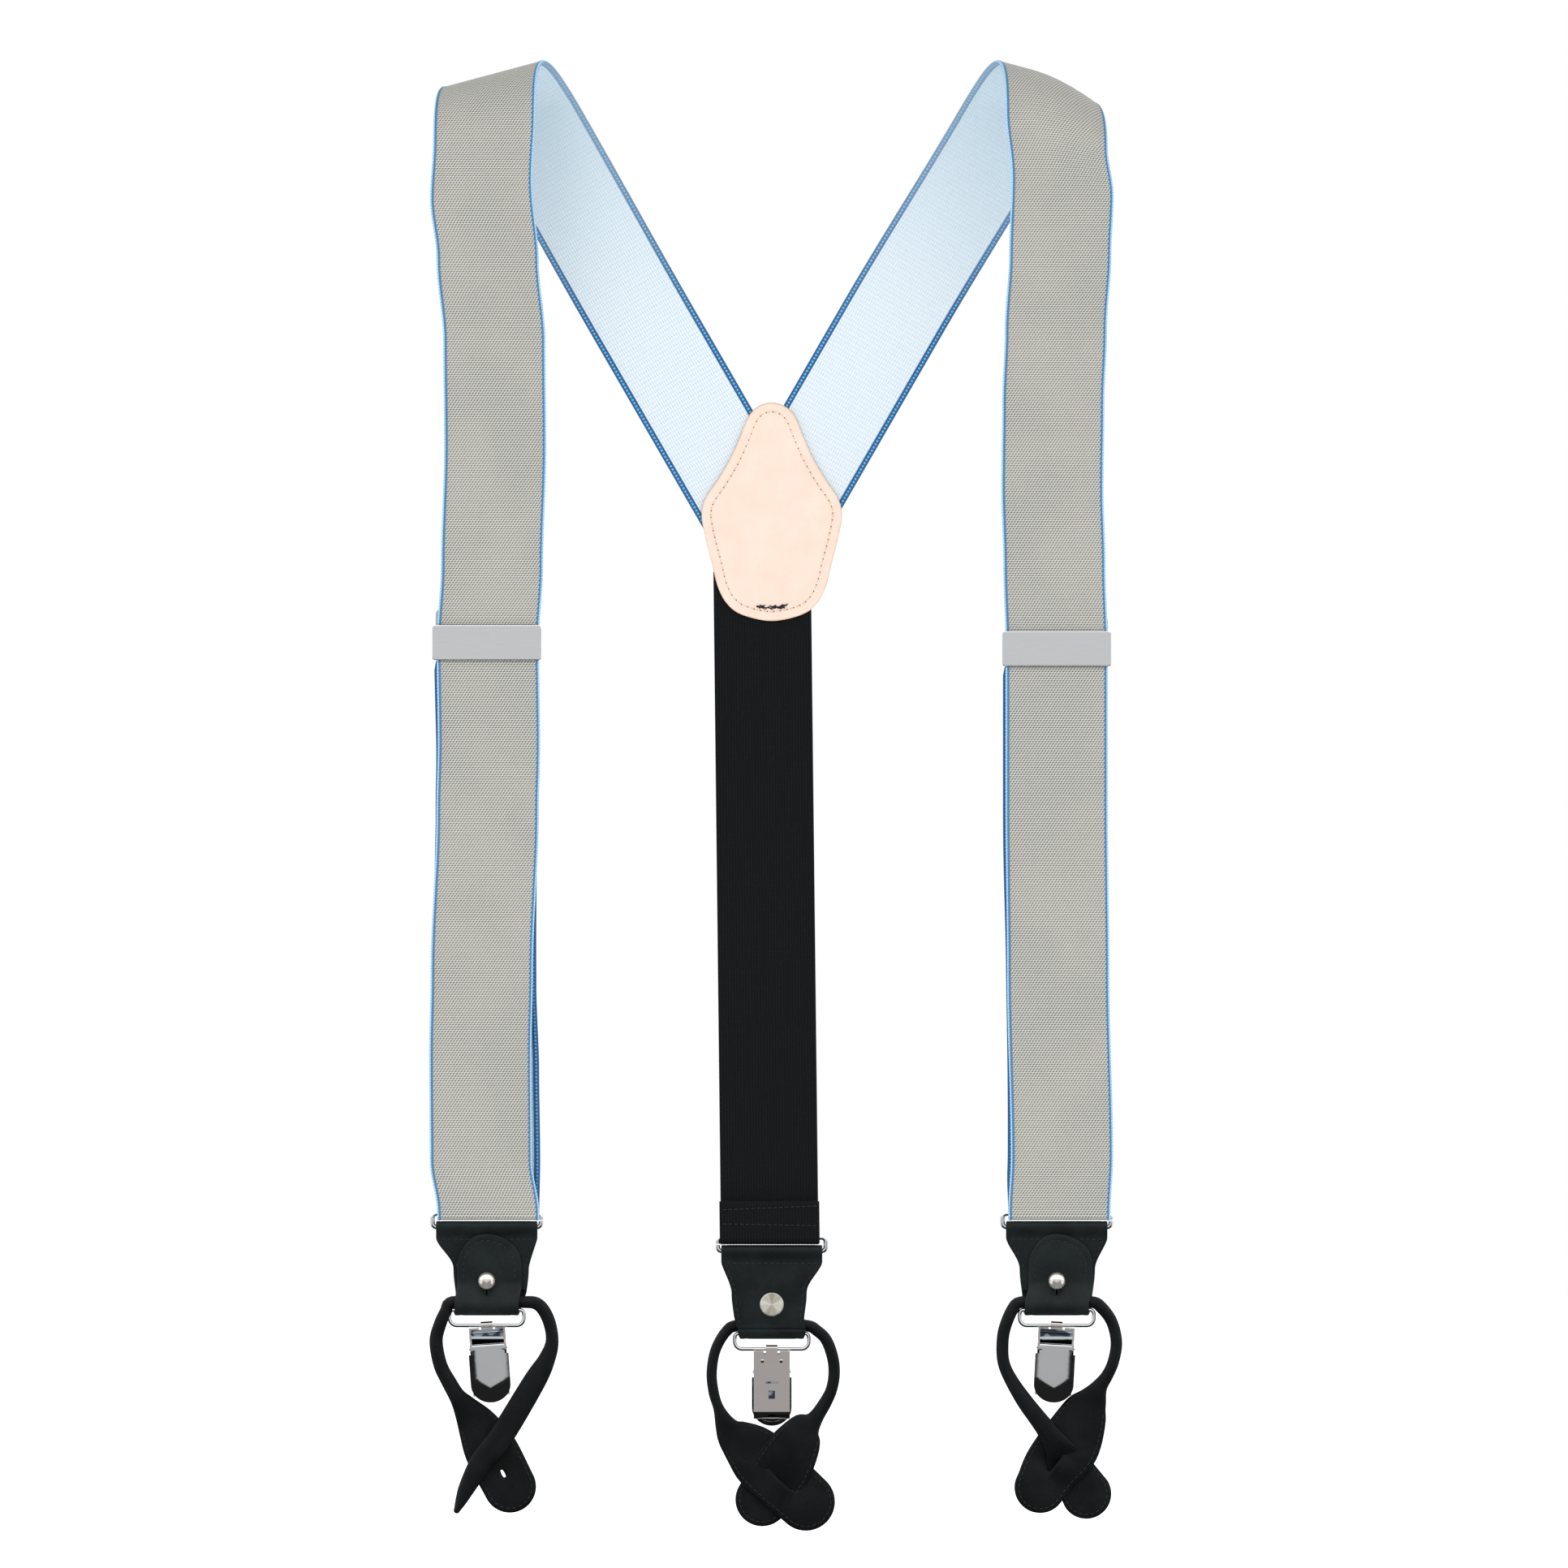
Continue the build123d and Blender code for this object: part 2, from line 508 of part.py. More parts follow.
def runner_place(end):
    """The cord's middle; a runner's shape is drawn as seen from the front, so it isn't turned."""
    return Pos((loop_bar(end) * Pos(0, FOLD_Y, CORD_Z)).position)


def build_parts():
    parts = {
        "back_patch_inner": patch_layer(0),
        "back_patch_outer": patch_layer(REAR_WEB_Y + ELASTIC_THICK + LAYER_GAP),
        "rear_elastic": rear_elastic(),
    }
    for side, sign in FRONT_SIDES.items():
        place = Pos(sign * FRONT_X, 0, ADJUSTER_Z[side])
        parts["shoulder_strap_" + side] = shoulder_strap(side)
        parts["lower_strap_" + side] = lower_strap(side)
        parts["adjuster_frame_" + side] = place * adjuster_frame()
        parts["adjuster_lever_" + side] = place * adjuster_lever()
        parts["adjuster_pin_" + side] = place * adjuster_pin()
    at_bar = {
        "strap_loop": strap_loop(),
        "leather_end": leather_end(),
        "leather_flap": leather_flap(),
        "ball_stud": ball_stud(),
        "stud_cap": stud_cap(),
        "clip_bail": clip_bail(),
    }
    at_clip = {
        "clip_body": clip_body(),
        "clip_jaw": clip_jaw(),
        "clip_pin": clip_pin(),
        "clip_lever": clip_lever(),
    }
    for end in ("left", "right", "rear"):
        for name, shape in at_bar.items():
            parts[name + "_" + end] = loop_bar(end) * shape
        for name, shape in at_clip.items():
            parts[name + "_" + end] = clip_place(end) * shape
        parts["button_runner_" + end] = runner_place(end) * button_runner(end)
    return parts


if __name__ == "__main__":
    os.makedirs("parts", exist_ok=True)
    for node, shape in build_parts().items():
        export_step(shape, "parts/" + node + ".step")
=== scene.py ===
import json
import math
import random

import bmesh
import bpy
import numpy as np
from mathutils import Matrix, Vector


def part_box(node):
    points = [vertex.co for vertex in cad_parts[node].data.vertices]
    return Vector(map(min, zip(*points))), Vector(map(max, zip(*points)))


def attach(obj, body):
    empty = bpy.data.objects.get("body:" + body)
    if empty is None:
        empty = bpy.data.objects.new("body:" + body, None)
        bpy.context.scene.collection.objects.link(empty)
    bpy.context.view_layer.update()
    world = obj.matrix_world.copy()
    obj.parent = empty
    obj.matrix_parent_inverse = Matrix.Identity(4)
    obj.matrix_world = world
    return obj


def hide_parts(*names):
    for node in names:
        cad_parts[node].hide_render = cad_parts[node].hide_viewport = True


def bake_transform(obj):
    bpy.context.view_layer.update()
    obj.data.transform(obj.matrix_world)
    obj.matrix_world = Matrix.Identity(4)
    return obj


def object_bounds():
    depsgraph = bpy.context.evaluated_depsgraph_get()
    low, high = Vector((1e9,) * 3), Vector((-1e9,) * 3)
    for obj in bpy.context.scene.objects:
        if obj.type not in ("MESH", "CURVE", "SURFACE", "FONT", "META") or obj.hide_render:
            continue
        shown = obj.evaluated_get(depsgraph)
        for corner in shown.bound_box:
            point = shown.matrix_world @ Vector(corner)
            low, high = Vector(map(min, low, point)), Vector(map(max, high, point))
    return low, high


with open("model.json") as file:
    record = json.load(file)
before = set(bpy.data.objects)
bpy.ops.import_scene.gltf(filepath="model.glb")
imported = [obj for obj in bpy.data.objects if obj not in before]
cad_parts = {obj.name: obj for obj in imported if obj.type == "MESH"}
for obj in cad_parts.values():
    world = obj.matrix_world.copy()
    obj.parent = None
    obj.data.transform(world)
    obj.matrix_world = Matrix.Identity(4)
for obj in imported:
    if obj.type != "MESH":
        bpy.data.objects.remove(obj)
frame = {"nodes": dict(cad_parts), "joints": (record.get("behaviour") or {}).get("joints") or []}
cad_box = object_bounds()

# Lengths are in millimetres until a mesh is made; MM turns them into the frame's metres.
MM = 0.001
SIDES = {"left": -1, "right": 1}
ENDS = ("left", "right", "rear")
JOINTS = {joint["name"]: joint for joint in frame["joints"]}

# ---- driving dimensions of the soft pieces ------------------------------------------
WEB_WIDTH = 35.0
WEB_THICK = 1.5             # over the selvedges
WEB_HALF = 0.56             # half the thickness between them
BEAD_R = WEB_THICK / 2
REAR_ANGLE = math.radians(30.0)
RULING = REAR_ANGLE / 2
REAR_LINE = (41.75, 63.9)   # a point (x, z) on the centre line of a rear run
ARCH_HEIGHT = 18.0
ARCH_SETTLE = 1.9           # how much lower the cloth lies over the shoulder than that
STRAP_END_Z = -19.0
LOOP_WIRE_R = 0.75
BEND_R = LOOP_WIRE_R + 0.05
BAR_DROP = 3.2              # adjuster's bar below its centre
EYE_R = 1.45                # bend of the webbing over that bar
ELASTIC_HALF = 0.8
LEATHER_HALF = 0.6
ROW = 2.0                   # spacing of rows along a strap

# sideways offset of the cloth over each shoulder, and of both runs down the back
ARCH_SHIFT = {"left": -0.9, "right": 0.0}
REAR_SHIFT = -1.7
# sideways sway of the front runs, (height, offset) from the adjuster up and down
SWAY = {
    "left": [
        (-240, 0.5), (-222, -2.0), (-186, -2.2), (-158, -1.7), (-103, 0.3), (-80, 0.8), (-45, 0.4),
        (-19, 1.8), (22, 2.9), (58, 2.6), (86, 0.3), (110, -1.9),
    ],
    "right": [
        (-240, 0.9), (-221, 1.8), (-158, 0.5), (-100, 0), (-47, 0), (-19, -0.8), (8, -1.5),
        (36, -1.2), (62, -0.3), (88, 1.2), (111, 2.0),
    ],
}
RETURN_SHIFT = {            # the same for the layer behind, against the front one
    "left": [(-240, 0), (-222, 2.8), (-190, 2.6), (-160, 1.2), (-110, -0.3), (-54, -0.9), (-50, 0)],
    "right": [(-240, 0), (-225, -1.1), (-170, -0.3), (-110, -0.9), (-56, -0.9), (-52, 0)],
}


# ---- places taken from the frame ----------------------------------------------------
def box(node):
    low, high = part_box(node)
    return np.array(low) / MM, np.array(high) / MM


def joint_at(name):
    return np.array(JOINTS[name]["pos_m"]) / MM


def facing(end):
    """1 where an end's own front faces -Y, -1 on the rear end, which is turned round."""
    return -1 if end == "rear" else 1


STRAP_LOW, STRAP_HIGH = box("shoulder_strap_right")
REAR_MID_Y = STRAP_HIGH[1] - WEB_THICK / 2
FRONT_MID_Y = STRAP_LOW[1] + WEB_THICK / 2
ARCH_HALF_DEPTH = (REAR_MID_Y - FRONT_MID_Y) / 2
ARCH_LENGTH = math.pi * math.sqrt((ARCH_HALF_DEPTH**2 + ARCH_HEIGHT**2) / 2)


def adjuster_centre(side):
    low, high = box("adjuster_frame_" + side)
    return (low + high) / 2


def upper_bar(end):
    return joint_at("loop_swing_" + end)


# ---- small numeric helpers ----------------------------------------------------------
def ease(x):
    x = np.clip(x, 0.0, 1.0)
    return x * x * (3 - 2 * x)


def between(points, x):
    """Smooth value at x through (x, value) points in rising order."""
    points = np.array(points, float)
    x = np.clip(x, points[0, 0], points[-1, 0])
    index = np.clip(np.searchsorted(points[:, 0], x) - 1, 0, len(points) - 2)
    low, high = points[index], points[index + 1]
    share = (x - low[..., 0]) / (high[..., 0] - low[..., 0])
    return low[..., 1] + (high[..., 1] - low[..., 1]) * ease(share)


def smooth_path(keys, spacing):
    """Catmull-Rom through rows of numbers, resampled evenly by its first two columns."""
    keys = np.array(keys, float)
    ends = [2 * keys[0] - keys[1], 2 * keys[-1] - keys[-2]]
    padded = np.vstack([ends[0], keys, ends[1]])
    dense = []
    for i in range(len(keys) - 1):
        a, b, c, d = padded[i:i + 4]
        for t in np.linspace(0, 1, 24, endpoint=False):
            dense.append(0.5 * (2 * b + (c - a) * t + (2 * a - 5 * b + 4 * c - d) * t**2
                                + (3 * b - a - 3 * c + d) * t**3))
    dense = np.vstack([dense, keys[-1]])
    run = np.concatenate([[0], np.cumsum(np.hypot(*np.diff(dense[:, :2], axis=0).T))])
    steps = np.linspace(0, run[-1], max(2, int(run[-1] / spacing) + 1))
    return np.stack([np.interp(steps, run, column) for column in dense.T], axis=1), steps


def unit(v):
    return v / np.maximum(np.linalg.norm(v, axis=-1, keepdims=True), 1e-9)


# ---- mesh helpers -------------------------------------------------------------------
def make_piece(name, verts, faces, materials, face_materials=None, cloth=None):
    """A mesh object from millimetres, welded, with its normals outwards and shaded smooth."""
    mesh = bpy.data.meshes.new(name)
    mesh.from_pydata((np.asarray(verts) * MM).tolist(), [], [list(f) for f in faces])
    for material in materials:
        mesh.materials.append(material)
    if face_materials is not None:
        mesh.polygons.foreach_set("material_index", np.asarray(face_materials, np.int32))
    if cloth is not None:
        layer = mesh.attributes.new("cloth", "FLOAT_VECTOR", "POINT")
        layer.data.foreach_set("vector", np.asarray(cloth, np.float32).ravel())
    obj = bpy.data.objects.new(name, mesh)
    bpy.context.scene.collection.objects.link(obj)
    edit_mesh(obj, lambda bm: bmesh.ops.remove_doubles(bm, verts=bm.verts, dist=1e-6))
    mesh.shade_smooth()
    return obj


def edit_mesh(obj, change):
    """Runs change on a piece's mesh, then cleans it and turns its normals outwards."""
    bm = bmesh.new()
    bm.from_mesh(obj.data)
    change(bm)
    bmesh.ops.dissolve_degenerate(bm, edges=bm.edges, dist=1e-7)
    bmesh.ops.recalc_face_normals(bm, faces=bm.faces)
    bm.to_mesh(obj.data)
    bm.free()


def enter(piece, body=None, node=None):
    """Hides the CAD node a piece stands for and attaches the piece to its body."""
    if node:
        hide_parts(node)
    if body:
        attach(piece, body)


def cut_and_close(obj, point, normal, front_limit=-math.inf):
    """Takes away the side that normal points to, behind front_limit, and closes the cut."""
    def change(bm):
        def behind(element):
            return all(v.co.y > front_limit * MM for v in element.verts)

        geometry = [v for v in bm.verts if v.co.y > front_limit * MM]
        geometry += [e for e in bm.edges if behind(e)] + [f for f in bm.faces if behind(f)]
        plane = {"plane_co": [v * MM for v in point], "plane_no": normal}
        cut = bmesh.ops.bisect_plane(bm, geom=geometry, clear_outer=True, **plane)
        edges = [e for e in cut["geom_cut"] if isinstance(e, bmesh.types.BMEdge)]
        bmesh.ops.holes_fill(bm, edges=edges)
    edit_mesh(obj, change)


def ring_faces(a, b, count):
    """Quads between two closed rings of points whose first points are a and b."""
    following = [(j + 1) % count for j in range(count)]
    return [(a + j, a + k, b + k, b + j) for j, k in enumerate(following)]


def sweep(name, origins, across, normals, along, slant, profile, materials, segment_materials):
    """A closed profile of (across, outwards) points carried along a strip's centre line."""
    profile = np.array(profile)
    s, n = profile[:, 0], profile[:, 1]
    sideways = s[None, :, None] * across[:, None]
    rings = origins[:, None] + sideways + n[None, :, None] * normals[:, None]
    rows, count = rings.shape[:2]
    cloth = np.zeros((rows, count, 3))
    cloth[..., 0] = s
    cloth[..., 1] = along[:, None] + s[None, :] * slant[:, None]
    faces, used = [], []
    for i in range(rows - 1):
        faces += ring_faces(i * count, (i + 1) * count, count)
        used += segment_materials
    for row in (0, rows - 1):
        faces.append([row * count + j for j in range(count)])
        used.append(0)
    return make_piece(name, rings.reshape(-1, 3), faces, materials, used, cloth.reshape(-1, 3))


def slab(mid, normal, half, kept=None):
    """Vertices and faces of a sheet: two skins about mid, walled wherever its cells end."""
    rows, cols = half.shape
    if kept is None:
        kept = np.ones((rows - 1, cols - 1), bool)
    offset = normal * half[..., None]
    verts = np.concatenate([(mid + offset).reshape(-1, 3), (mid - offset).reshape(-1, 3)])
    back = rows * cols
    edge = np.pad(kept, 1)
    faces = []
    for i, j in zip(*np.nonzero(kept)):
        a, b = i * cols + j, i * cols + j + 1
        d, c = a + cols, b + cols
        faces.append((a, b, c, d))
        faces.append((back + d, back + c, back + b, back + a))
        for open_side, p, q in ((edge[i, j + 1], a, b), (edge[i + 2, j + 1], c, d),
                                (edge[i + 1, j], d, a), (edge[i + 1, j + 2], b, c)):
            if not open_side:
                faces.append((q, p, back + p, back + q))
    return verts, faces


def round_edge(distance, radius):
    """Share of the full thickness at a distance in from a rounded edge."""
    x = 1 - np.clip(distance / radius, 0, 1)
    return np.sqrt(np.maximum(1 - x * x, 0.0))


def merge(parts):
    """Joins (verts, faces) pairs into one."""
    verts, faces, start = [], [], 0
    for v, f in parts:
        verts.append(v)
        faces += [[index + start for index in face] for face in f]
        start += len(v)
    return np.concatenate(verts), faces


def capsule_grid(sides=8, rings=5):
    """Unit stitch: along the first axis, round in the other two."""
    turns = np.linspace(0, 2 * math.pi, sides, endpoint=False)
    points = [(-1, 0, 0)]
    for lift in np.linspace(-math.pi / 2, math.pi / 2, rings + 2)[1:-1]:
        along = math.copysign(abs(math.sin(lift)) ** 0.6, math.sin(lift))
        radius = math.cos(lift)
        points += [(along, radius * math.cos(t), radius * math.sin(t)) for t in turns]
    points.append((1, 0, 0))
    last_ring = 1 + (rings - 1) * sides
    faces = []
    for j in range(sides):
        k = (j + 1) % sides
        faces.append((0, 1 + k, 1 + j))
        faces.append((last_ring + j, last_ring + k, len(points) - 1))
    for start in range(1, last_ring, sides):
        faces += ring_faces(start, start + sides, sides)
    return np.array(points), faces


STITCH_VERTS, STITCH_FACES = capsule_grid()
TANGENT_STEP = 0.4          # how far ahead and behind a stitch takes its direction from
# length, pitch and radius of the stitches
PATCH_STITCH = (1.6, 2.3, 0.2)
NEEDLE_HOLE = (0.42, 2.3, 0.2)
ELASTIC_STITCH = (1.5, 1.9, 0.2)
LEATHER_STITCH = (1.5, 2.1, 0.17)
TAB_STITCH = (1.4, 2.0, 0.16)


def stitches(points, normals, length, pitch, radius, sink=0.3):
    """Thread stitches along a line of points; normals say which way is out of the surface."""
    points, normals = np.asarray(points, float), np.asarray(normals, float)
    run = np.concatenate([[0], np.cumsum(np.linalg.norm(np.diff(points, axis=0), axis=1))])

    def at(array, where):
        return np.array([np.interp(where, run, column) for column in array.T])

    count = max(1, int(run[-1] / pitch))
    parts = []
    for place in (np.arange(count) + 0.5) * run[-1] / count:
        normal = unit(at(normals, place))
        ahead, behind = min(place + TANGENT_STEP, run[-1]), max(place - TANGENT_STEP, 0)
        tangent = unit(at(points, ahead) - at(points, behind))
        side = unit(np.cross(tangent, normal))
        centre = at(points, place) + normal * radius * (1 - 2 * sink)
        shape = STITCH_VERTS * [length / 2, radius, radius]
        parts.append((centre + shape @ np.stack([tangent, side, normal]), STITCH_FACES))
    return merge(parts)


# ---- node helpers -------------------------------------------------------------------
def sew(points, out, stitch, sink=0.3):
    """Stitches on a face that looks along Y, towards out."""
    return stitches(points, [(0, out, 0)] * len(points), *stitch, sink)


class Nodes:
    """Short calls for building a node tree."""

    def __init__(self, tree):
        self.tree = tree

    def add(self, kind, **settings):
        node = self.tree.nodes.new("ShaderNode" + kind)
        for key, value in settings.items():
            setattr(node, key, value)
        return node

    def put(self, socket, value):
        if isinstance(value, bpy.types.NodeSocket):
            self.tree.links.new(value, socket)
        elif socket.type == "RGBA":
            socket.default_value = (*value, 1.0)
        else:
            socket.default_value = value

    def fill(self, node, *values):
        """Gives a node's first inputs their values; its first output."""
        for socket, value in zip(node.inputs, values):
            self.put(socket, value)
        return node.outputs[0]

    def math(self, operation, *values):
        return self.fill(self.add("Math", operation=operation), *values)

    def ramp(self, value, low, high, to_low=0.0, to_high=1.0):
        node = self.add("MapRange", interpolation_type="SMOOTHSTEP")
        return self.fill(node, value, low, high, to_low, to_high)

    def mix(self, factor, a, b):
        node = self.add("Mix", data_type="RGBA")
        for index, value in ((0, factor), (6, a), (7, b)):
            self.put(node.inputs[index], value)
        return node.outputs[2]

    def split(self, vector):
        node = self.add("SeparateXYZ")
        self.put(node.inputs[0], vector)
        return node.outputs

    def length(self, x, y):
        square = self.math("ADD", self.math("MULTIPLY", x, x), self.math("MULTIPLY", y, y))
        return self.math("SQRT", square)

    def off_middle(self, value):
        """How far value lies from the middle of its unit step."""
        return self.math("SUBTRACT", self.math("FRACT", value), 0.5)

    def wave(self, value, period):
        """0 to 1 and back, once in each period."""
        turn = self.math("MULTIPLY", value, 2 * math.pi / period)
        return self.math("MULTIPLY_ADD", self.math("SINE", turn), 0.5, 0.5)


class Shader(Nodes):
    """One material, with its inputs and the patterns that several materials share."""

    def __init__(self, name, **values):
        self.material = bpy.data.materials.new(name)
        self.material.use_nodes = True
        super().__init__(self.material.node_tree)
        self.surface = self.tree.nodes["Principled BSDF"]
        for key, value in values.items():
            self.set(key.replace("_", " "), value)

    def set(self, key, value):
        self.put(self.surface.inputs[key], value)

    def coordinate(self):
        """The piece's own place, in millimetres."""
        scale = self.add("VectorMath", operation="SCALE")
        self.put(scale.inputs["Scale"], 1 / MM)
        self.put(scale.inputs[0], self.add("TexCoord").outputs["Object"])
        return scale.outputs[0]

    def generated(self):
        """x, y and z as shares of the piece's own box."""
        return self.split(self.add("TexCoord").outputs["Generated"])

    def cloth(self):
        """(across, along) on a strap, in millimetres."""
        across, along, _ = self.split(self.add("Attribute", attribute_name="cloth").outputs["Vector"])
        return across, along

    def noise(self, size, detail=2.0, stretch=(1, 1, 1)):
        shaped = self.add("Mapping")
        self.put(shaped.inputs["Vector"], self.coordinate())
        self.put(shaped.inputs["Scale"], stretch)
        node = self.add("TexNoise")
        for key, value in (("Vector", shaped.outputs[0]), ("Scale", 1 / size), ("Detail", detail)):
            self.put(node.inputs[key], value)
        return node.outputs[0]

    def cells(self, size):
        node = self.add("TexVoronoi", feature="SMOOTH_F1")
        self.put(node.inputs["Scale"], 1 / size)
        self.put(node.inputs["Vector"], self.coordinate())
        return node.outputs["Distance"]

    def lattice(self, across, along, width, height):
        """Distance from the nearest knit stitch, each row half a stitch over; 0 at a stitch."""
        row = self.math("DIVIDE", along, height)
        over = self.math("MULTIPLY", row, 0.5)
        column = self.math("SUBTRACT", self.math("DIVIDE", across, width), over)
        return self.length(self.off_middle(column), self.off_middle(row))

    def bump(self, height, depth, strength=1.0):
        """Surface relief of the given depth in millimetres, over what was there before."""
        node = self.add("Bump")
        for key, value in (("Strength", strength), ("Distance", depth * MM), ("Height", height)):
            self.put(node.inputs[key], value)
        socket = self.surface.inputs["Normal"]
        if socket.is_linked:
            self.put(node.inputs["Normal"], socket.links[0].from_socket)
        self.put(socket, node.outputs[0])


def srgb(r, g, b):
    """Linear colour of an 0-255 display colour."""
    return tuple((c / 255 / 12.92) if c <= 10 else ((c / 255 + 0.055) / 1.055) ** 2.4 for c in (r, g, b))


# ---- materials ----------------------------------------------------------------------
WEAVE = (1.03, 0.8)         # one stitch of the weave, across and along
STRIPE_IN = 16.4            # where the blue edge stripe begins, from the centre
BEAD_IN = 17.0              # where the pale selvedge begins
BRAID_IN = 15.4             # where the inner face's braid begins


def webbing_outer():
    """Grey leaning weave with a dark blue line and a pale blue selvedge at each edge."""
    m = Shader("webbing_outer", Roughness=0.85)
    across, along = m.cloth()
    stitch = m.lattice(across, along, *WEAVE)
    hollow = m.ramp(stitch, 0.14, 0.40, 1.0, 0.0)
    crest = m.ramp(stitch, 0.42, 0.66)
    grey = m.mix(crest, srgb(176, 176, 170), srgb(212, 212, 205))
    grey = m.mix(m.math("MULTIPLY", hollow, 0.9), grey, srgb(84, 84, 79))
    drift = m.ramp(m.noise(26.0, 3.0), 0.35, 0.65)
    grey = m.mix(m.math("MULTIPLY", drift, 0.10), grey, srgb(212, 207, 195))
    tooth = m.math("MULTIPLY", m.wave(along, 1.6), 0.35)
    edge = m.math("ADD", m.math("ABSOLUTE", across), tooth)
    blue_cross = m.wave(m.math("ADD", along, m.math("MULTIPLY", across, 0.8)), 0.8)
    dark = m.mix(blue_cross, srgb(52, 98, 140), srgb(96, 146, 186))
    pale = m.mix(m.wave(m.math("SUBTRACT", along, across), 1.0), srgb(120, 186, 236), srgb(196, 228, 250))
    colour = m.mix(m.ramp(edge, STRIPE_IN - 0.1, STRIPE_IN + 0.1), grey, dark)
    colour = m.mix(m.ramp(m.math("ABSOLUTE", across), BEAD_IN - 0.15, BEAD_IN + 0.1), colour, pale)
    m.set("Base Color", colour)
    m.set("Sheen Weight", 0.15)
    m.bump(m.math("SUBTRACT", 1.0, hollow), 0.16, 0.8)
    m.bump(m.noise(0.35, 2.0), 0.05, 0.5)
    return m.material


def webbing_inner():
    """Near-white ribbed lining with a blue braided chain at each edge, darkened towards the top by
    painted shade.
    """
    m = Shader("webbing_inner", Roughness=0.8)
    across, along = m.cloth()
    rib = m.wave(across, 0.9)
    stitch = m.lattice(across, along, 0.9, 1.5)
    dot = m.ramp(stitch, 0.12, 0.34, 1.0, 0.0)
    white = m.mix(rib, srgb(206, 221, 231), srgb(233, 239, 242))
    white = m.mix(m.math("MULTIPLY", dot, 0.45), white, srgb(172, 194, 214))
    chain_middle = (BRAID_IN + WEB_WIDTH / 2) / 2
    off_chain = m.math("SUBTRACT", m.math("ABSOLUTE", across), chain_middle)
    off_bead = m.off_middle(m.math("DIVIDE", along, 1.25))
    round_bead = m.length(m.math("DIVIDE", off_chain, 1.1), off_bead)
    bead = m.ramp(round_bead, 0.22, 0.44, 1.0, 0.0)
    braid = m.mix(bead, srgb(28, 92, 146), srgb(112, 182, 226))
    colour = m.mix(m.ramp(m.math("ABSOLUTE", across), BRAID_IN - 0.1, BRAID_IN + 0.1), white, braid)
    # Painted shade: the lining darkens towards the top, where it turns over the shoulder.
    height = m.split(m.coordinate())[2]
    shade = m.ramp(height, 50, 150, 0.0, 0.5)
    m.set("Base Color", m.mix(shade, colour, srgb(176, 200, 214)))
    m.set("Sheen Weight", 0.05)
    m.bump(m.math("SUBTRACT", rib, dot), 0.12, 0.6)
    m.bump(bead, 0.2, 0.6)
    return m.material


def elastic():
    """Black ribbed elastic with fine cross threads and a little fibre sheen."""
    m = Shader("elastic", Roughness=0.75, Specular_IOR_Level=0.18)
    across, along = m.cloth()
    rib = m.wave(across, 1.0)
    pick = m.wave(along, 0.7)
    tone = m.math("ADD", m.math("MULTIPLY", rib, 0.7), m.math("MULTIPLY", pick, 0.3))
    m.set("Base Color", m.mix(tone, srgb(5, 8, 10), srgb(19, 22, 25)))
    m.set("Sheen Weight", 0.01)
    m.bump(rib, 0.14, 0.5)
    m.bump(pick, 0.06, 0.5)
    m.bump(m.noise(0.3), 0.04, 0.6)
    return m.material


def leather(name, dark, light, roughness, grain, shine=0.2):
    """Grained leather: pebbled cells, long soft creases and slightly uneven colour."""
    m = Shader(name, Specular_IOR_Level=shine)
    cloud = m.ramp(m.noise(9.0, 4.0), 0.3, 0.7)
    colour = m.mix(cloud, dark, light)
    pebble = m.cells(grain)
    colour = m.mix(m.ramp(pebble, 0.35, 0.75, 0.0, 0.35), colour, dark)
    m.set("Base Color", colour)
    m.set("Roughness", m.ramp(m.noise(3.5, 3.0), 0.2, 0.8, roughness - 0.06, roughness + 0.08))
    m.bump(m.math("SUBTRACT", 1.0, pebble), 0.07, 0.7)
    m.bump(m.noise(5.0, 3.0), 0.2, 0.3)
    return m.material


def thread(name, colour):
    """Twisted sewing thread."""
    m = Shader(name, Roughness=0.65)
    strand = m.noise(0.12, 1.0, stretch=(1, 1, 3))
    m.set("Base Color", m.mix(strand, colour, tuple(min(1.0, c * 1.7 + 0.004) for c in colour)))
    m.bump(strand, 0.03)
    return m.material


def chrome(name, tone):
    """Polished plate with hairlines and slight waviness; tone is how much it gives back."""
    m = Shader(name, Metallic=1.0)
    m.set("Base Color", m.mix(m.noise(6.0), srgb(*tone), srgb(*(min(255, c + 6) for c in tone))))
    hairline = m.noise(0.25, 3.0, stretch=(1, 1, 0.08))
    m.set("Roughness", m.ramp(hairline, 0.3, 0.8, 0.04, 0.12))
    m.bump(m.noise(3.0, 1.0), 0.015, 0.6)
    return m.material


def satin_plate():
    """Satin plating of the adjusters, brushed across."""
    m = Shader("satin_plate", Metallic=0.85)
    brushed = m.noise(0.3, 3.0, stretch=(0.06, 1, 1))
    m.set("Base Color", m.mix(brushed, srgb(225, 227, 229), srgb(238, 239, 240)))
    m.set("Roughness", m.ramp(brushed, 0.3, 0.8, 0.30, 0.38))
    m.bump(brushed, 0.01, 0.4)
    return m.material


